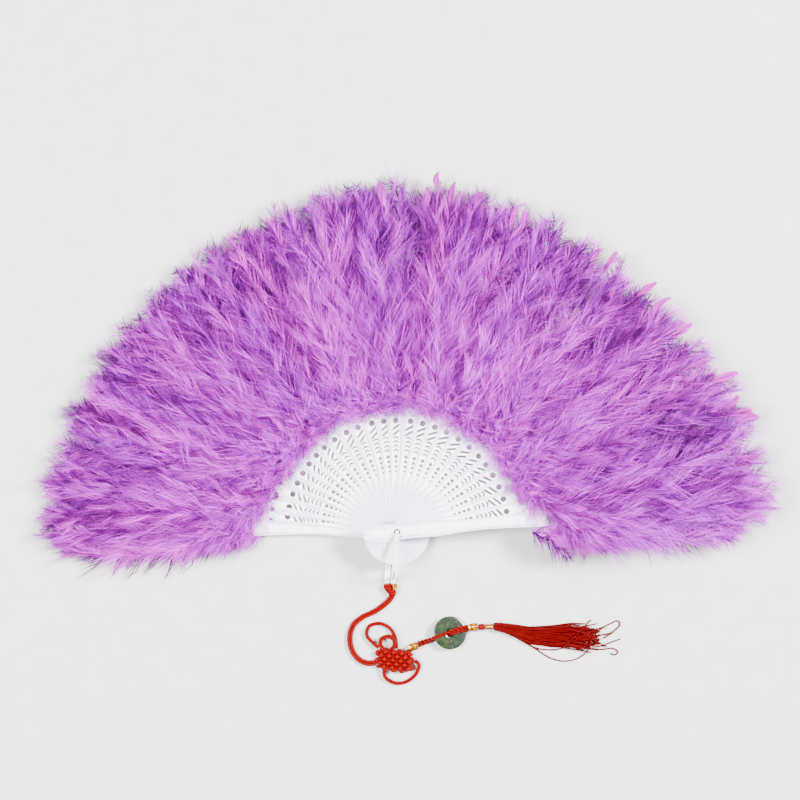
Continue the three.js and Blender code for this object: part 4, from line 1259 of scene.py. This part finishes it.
def feather_rows(rng, stave, kind):
    """One row a feather: start, end, side at the start and at the end, bow, height at the root,
    crown, height at the tip, barb length, lightness, first and last opening angle, tilt, barb width."""
    angle = STAVE_ANGLES[stave]
    begin = float(np.interp(angle, START_ANGLES, START_RADII))
    stave_places = np.linspace(0, FRONT, len(REACH_SHARES))
    reach = PLUME_REACH * float(np.interp(stave, stave_places, REACH_SHARES))
    top = STAVE_FLOORS[stave] / MM + 0.8
    count, _, barb, first, last, light, tilt, width = KINDS[kind]
    low, high = LOW_SPREADS[stave] if kind == "low" else SPREADS.get(stave, USUAL_SPREAD)
    count += 2 * (stave in (0, FRONT))
    start, end, lift, crown, tip = {
        "under": (begin + 14, reach - 8, -2.0, 0.5, 0.12 * top + 1.5),
        "rim": (reach - 54, reach - 5, 1.0 - 0.15 * top, 1.5, 0.5 * top + 2.5),
        "over": (begin + 12, reach - 7, 0.8, 11.0, 0.7 * top + 3),
        "middle": (begin + 8, begin + rng.uniform(70, 115, count), 1.2, 11.0, top + 2),
        "small": (begin + 4, begin + rng.uniform(38, 66, count), 1.5, 7.0, top + 4),
        "fluff": (begin + rng.uniform(-4, 7, count), begin + rng.uniform(12, 24, count), 1.2, 2.0, top + 4),
        "wisps": (begin + rng.uniform(-2, 3, count), begin + rng.uniform(9, 15, count), 1.6, 1.0, top + 3),
        "low": (rng.uniform(94, 106, count), 122 + 108 * np.linspace(0, 1, count) ** 1.3, -1.5, 2.0,
                0.62 * top + 2),
    }[kind]
    share = (np.arange(count) + rng.uniform(0.2, 0.8, count)) / count
    side_end = low + (high - low) * share
    if kind in ("rim", "over", "under"):
        end = end - ROUNDING * side_end**2
    if kind in ("fluff", "wisps"):
        side_end = side_end * 0.5
    side_start = side_end * {"fluff": 0.7, "wisps": 0.9, "rim": 0.8}.get(kind, 0.3)
    return np.column_stack([
        start + rng.uniform(-3, 5, count), end + rng.uniform(-8, 6, count), side_start, side_end,
        rng.normal(0, 5, count), top + lift + rng.uniform(-0.6, 2.4, count),
        crown * rng.uniform(0.45, 1.25, count), tip + rng.uniform(-1, 2, count),
        barb * rng.uniform(0.85, 1.15, count), light + rng.normal(0, 0.19, count),
        first + rng.normal(0, 4, count), last + rng.normal(0, 4, count), np.full(count, float(tilt)),
        np.full(count, width),
    ])


def along_shaft(rows, share):
    """Points of the shafts at shares of their length, (feathers, shares, 3) as out, left, up in
    millimetres: straight from start to end, plus the bow as a parabola, plus the crown as a sine."""
    start, end, side0, side1, bow, root, crown, tip = (rows[:, k, None] for k in range(8))
    out = start + (end - start) * share
    left = side0 + (side1 - side0) * share + 4 * bow * share * (1 - share)
    up = root + (tip - root) * share**1.6 + crown * np.sin(np.pi * share**0.75)
    return np.stack([out, left, up], axis=-1)


def ripple(rng, share):
    """A random wave along each side of each shaft: four sines, each with its own pace, height and
    phase. Near barbs get near values, which is what makes locks without any gaps between them."""
    pace = np.array([2.6, 7.5, 18.0, 37.0])[:, None, None, None]
    height = rng.normal(0, np.array([1.5, 1.3, 0.4, 0.12])[:, None, None, None], (4, len(share), 2, 1))
    phase = rng.uniform(0, 2 * np.pi, (4, len(share), 2, 1))
    return (height * np.sin(2 * np.pi * pace * share + phase)).sum(axis=0)


def per_lock(rng, spread, shape):
    """A random number for every lock, repeated for each of the neighbouring barbs that form it."""
    return np.repeat(rng.normal(0, spread, (*shape[:2], shape[2] // LOCK)), LOCK, axis=-1)


def gathered(tips):
    """The middle of the tips of every lock, repeated for its barbs."""
    locks = tips.reshape(*tips.shape[:2], -1, LOCK, 3).mean(axis=3)
    return np.repeat(locks, LOCK, axis=2)


def pointing(turn, slope):
    """Unit directions from a compass turn and a slope above the level, both in radians."""
    level = np.cos(slope)
    return np.stack([np.cos(turn) * level, np.sin(turn) * level, np.sin(slope)], axis=-1)


SWING, TILTING, DROOP = 9, 12, 46
# painted shade of the outer down: it begins 185 mm out and deepens over 50 mm
OUTER_ZONE, OUTER_FADE = 185, 50
# painted highlight at the rim: tips past 243 mm lighten over 18 mm
TIP_ZONE, TIP_FADE = 243, 18
PALE_SHARE = 0.02
VANE_BARBS = 30


def heading_of(roots, ahead):
    """The compass turn of the step from each root to the point just ahead of it."""
    return np.arctan2(ahead[..., 1] - roots[..., 1], ahead[..., 0] - roots[..., 0])


def barbs_of(rng, rows, per_side):
    """Barbs on both sides of every shaft, as flat arrays. The angle at which a barb leaves its shaft
    closes from the feather's first angle to its last, and random waves swing it, tilt it and shade
    it. Its outer half turns on towards the tip and droops. Then each lock of neighbouring barbs draws
    together: the end direction is turned so that the tip moves part of the way to the lock's middle
    tip, since a tip lies at the root plus its length times the mean of both directions. The lightness
    also holds painted shade, darker at the sides of each lock and in the outer down, and a painted
    highlight where the tips reach the rim."""
    shape = (len(rows), 2, per_side)
    share = (np.arange(per_side) + rng.random(shape)) / per_side
    roots = along_shaft(rows, share.reshape(len(rows), -1)).reshape(*shape, 3)
    ahead = along_shaft(rows, share.reshape(len(rows), -1) + 0.01).reshape(*shape, 3)
    heading = heading_of(roots, ahead)
    sign = np.array([1, -1])[None, :, None]
    barb, light, first, last, tilt = (rows[:, k, None, None] for k in (8, 9, 10, 11, 12))
    turn = first + (last - first) * share + SWING * ripple(rng, share) + per_lock(rng, 6, shape)
    late_turn = turn * (0.45 + 0.2 * ripple(rng, share)) + per_lock(rng, 9, shape)
    late_turn = late_turn + rng.normal(0, 11, shape)
    turn = turn + rng.normal(0, 9, shape)
    slope = tilt + TILTING * ripple(rng, share) + per_lock(rng, 9, shape) + rng.normal(0, 8, shape)
    late_slope = slope - DROOP + TILTING * ripple(rng, share) + rng.normal(0, 8, shape)
    start = pointing(heading + sign * np.radians(turn), np.radians(slope))
    end = pointing(heading + sign * np.radians(late_turn), np.radians(late_slope))
    profile = (0.76 + 0.34 * np.sin(np.pi * share)) * (1 - 0.4 * share**4)
    stray = 1 + 0.5 * rng.random(shape) ** 9
    length = barb * profile * (1 + 0.07 * ripple(rng, share) + per_lock(rng, 0.1, shape))
    length = np.maximum(length * rng.uniform(0.62, 1.16, shape) * stray, 0.3 * barb)
    tips = roots + length[..., None] * (start + end) / 2
    tightness = np.clip(0.3 + per_lock(rng, 0.2, shape), 0, 0.75) * rng.uniform(0.3, 1.3, shape)
    tightness = tightness * (1 - 0.7 * share**3)
    end = end + 2 * (tightness / length)[..., None] * (gathered(tips) - tips)
    # painted shade: a barb darkens with its distance from the middle of its lock
    middle = np.abs(np.arange(per_side) % LOCK - (LOCK - 1) / 2) / (LOCK / 2)
    # painted shade: barbs whose roots lie past 185 mm darken
    outer_shade = np.clip((roots[..., 0] - OUTER_ZONE) / OUTER_FADE, 0, 1)
    # painted highlight: barbs whose tips reach past 243 mm lighten
    tip_highlight = np.clip((tips[..., 0] - TIP_ZONE) / TIP_FADE, 0, 1)
    bright = 0.53 + light + 0.27 * ripple(rng, share) + per_lock(rng, 0.1, shape) - 0.1 * middle**2
    bright = bright - 0.2 * outer_shade + 0.3 * tip_highlight + rng.normal(0, 0.03, shape)
    bright = np.where(rng.random(shape) < PALE_SHARE, 1.0, np.clip(bright, 0, 0.96))
    pinkness = rng.normal(0, 1, (len(rows), 1, 1)) + 0.5 * ripple(rng, share)
    shade = np.where(pinkness > 0.3, 0.44 + 0.4 * bright, 0.02 + 0.38 * bright)
    width = rows[:, 13, None, None] * rng.uniform(0.13, 0.3, shape)
    flat = [roots.reshape(-1, 3), start.reshape(-1, 3), end.reshape(-1, 3)]
    return (*flat, length.ravel(), width.ravel(), shade.ravel())


def shafts_of(rows, parts=6):
    """Each shaft as a chain of thin spikes laid end to end along its curve."""
    share = np.linspace(0, 1, parts + 1)[None, :] + np.zeros((len(rows), 1))
    points = along_shaft(rows, share)
    start, step = points[:, :-1].reshape(-1, 3), np.diff(points, axis=1).reshape(-1, 3)
    length = np.linalg.norm(step, axis=1) * 1.2
    width = np.tile(np.linspace(0.6, 0.3, parts), len(rows))
    return start, unit(step), unit(step), length, width, np.full(len(start), SHAFT_SHADE)


def vanes_of(rng, rows):
    """Stiff ends that some long feathers keep: broad barbs laid close along the end of the shaft. Their
    length falls with the square of the place along it, so the blade ends in a point."""
    blade = rows.copy()
    blade[:, 0] = rows[:, 1] - rng.uniform(6, 12, len(rows))
    blade[:, 1] = rows[:, 1] + rng.uniform(4, 11, len(rows))
    blade[:, 2] = rows[:, 3]
    blade[:, 3] = rows[:, 3] + rng.uniform(-3, 3, len(rows))
    blade[:, 4:6] = np.column_stack([rng.normal(0, 0.8, len(rows)), rows[:, 7] + 1.5])
    blade[:, 6] = 1.0
    share = ((np.arange(VANE_BARBS) + 0.5) / VANE_BARBS)[None, :] + np.zeros((len(rows), 1))
    roots, ahead = along_shaft(blade, share), along_shaft(blade, share + 0.01)
    heading = heading_of(roots, ahead)
    sets = []
    for sign in (1, -1):
        broad = rng.uniform(3, 8, (len(rows), 1))
        start = pointing(heading + sign * np.radians(40), np.full_like(heading, 0.1))
        end = pointing(heading + sign * np.radians(20), np.full_like(heading, -0.15))
        length = (broad * np.minimum(1, share * 2 + 0.4) * (1 - 0.85 * share**2)).ravel()
        shade = VANE_SHADE + rng.normal(0, 0.006, len(length))
        sets.append((roots.reshape(-1, 3), start.reshape(-1, 3), end.reshape(-1, 3), length,
                     np.full(len(length), 1.2), shade))
    sets.append(shafts_of(blade, 3))
    return [np.concatenate(parts) for parts in zip(*sets)]


CHART_WIDTH = 0.004 * np.array([[0, -1], [0, 1], [2, 0], [0, -1], [0, 1], [2, 0], [0, 0]])
VANE_ANGLES = 8, 100


def plume(stave):
    """All the barbs and shafts of one stave's feathers, as one piece that rides on the stave."""
    rng = np.random.default_rng(100 + stave)
    sets = []
    for kind in KINDS:
        if kind == "low" and stave not in (0, FRONT):
            continue
        rows = feather_rows(rng, stave, kind)
        sets.append(barbs_of(rng, rows, KINDS[kind][1]))
        if kind not in ("fluff", "wisps"):
            sets.append(shafts_of(rows))
        if kind == "over" and VANE_ANGLES[0] < STAVE_ANGLES[stave] < VANE_ANGLES[1]:
            sets.append(vanes_of(rng, rows[rng.random(len(rows)) < 0.5]))
    root, start, end, length, width, shade = (np.concatenate(parts) for parts in zip(*sets))
    points, reach, shades = spikes(root * MM, start, end, length * MM, width * MM, shade)
    faces = spike_faces(len(root))
    replaced = {0: ["rear_guard_plume"], FRONT: ["front_guard_plume"]}.get(stave)
    if replaced is None:
        replaced = [f"plume_{stave // 2:02d}"] if stave % 2 == 0 else []
    part = on_stave(points.reshape(-1, 3), stave), faces, None
    piece = make(f"plume_{stave:02d}_down", part, down, replaced, body_of_stave(stave))
    for label, values in (("shade", shades), ("reach", reach)):
        held = piece.data.attributes.new(label, "FLOAT", "POINT")
        held.data.foreach_set("value", np.ascontiguousarray(values).ravel())
    corners = np.concatenate([face.ravel() for face in faces])
    chart = np.stack([reach * 0.96 + 0.02, shades], axis=-1) + CHART_WIDTH
    piece.data.uv_layers.new(name="OFBake").data.foreach_set("uv", chart.reshape(-1, 2)[corners].ravel())
    return piece, len(root)


plumes, spike_counts = zip(*(plume(stave) for stave in range(STAVES)))
print("spikes", sum(spike_counts), "triangles", 10 * sum(spike_counts))

# %% [markdown]
# Each plume is given a mesh of its own. The name of its stave's joint is looked up, and nothing
# more is done with it.

# %% Own meshes for the plumes
for stave, piece in enumerate(plumes):
    joint_of_stave(stave)
    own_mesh(piece)

# %% [markdown]
# The fan is shown on a plain pale table. The main softbox stands low on the right, because each stick
# lies under its right neighbour: light from there draws a thin shadow along every stick. A larger and
# weaker one on the left and an even pale surround keep the down soft.

# %% Table and light
TABLE_HALF = 2.0


def table_finish():
    """Pale grey paint, very slightly clouded."""
    recipe = Recipe("pale_table")
    speck = recipe.noise(recipe.place(), 60.0, 3.0)
    colour = recipe.ramp(speck, [(0.3, paint(184, 182, 182)), (0.7, paint(190, 188, 188))])
    return recipe.surface(Base_Color=colour, Roughness=0.7)


table_corners = [(x * TABLE_HALF, y * TABLE_HALF, 0) for x, y in ((-1, -1), (1, -1), (1, 1), (-1, 1))]
table_mesh = bpy.data.meshes.new("table_top")
table_mesh.from_pydata(table_corners, [], [(0, 1, 2, 3)])
table_mesh.materials.append(table_finish())
table = bpy.data.objects.new("table_top", table_mesh)
bpy.context.scene.collection.objects.link(table)


def softbox(name, place, size, power):
    """A square lamp that faces the frame's origin."""
    lamp = bpy.data.lights.new(name, "AREA")
    lamp.shape = "SQUARE"
    lamp.size = size
    lamp.energy = power
    holder = bpy.data.objects.new(name, lamp)
    holder.location = place
    from_lamp = -np.asarray(place)
    pitch = np.arctan2(np.hypot(from_lamp[0], from_lamp[1]), -from_lamp[2])
    holder.rotation_euler = (pitch, 0, np.arctan2(from_lamp[1], from_lamp[0]) - np.pi / 2)
    bpy.context.scene.collection.objects.link(holder)


softbox("key_softbox", (1.6, 0.5, 1.7), 0.6, 318)
softbox("fill_softbox", (-1.0, -0.1, 1.5), 0.8, 135)
world = bpy.data.worlds.new("surround")
world.use_nodes = True
world.node_tree.nodes["Background"].inputs["Color"].default_value = (0.95, 0.96, 1.0, 1)
world.node_tree.nodes["Background"].inputs["Strength"].default_value = 0.6
bpy.context.scene.world = world
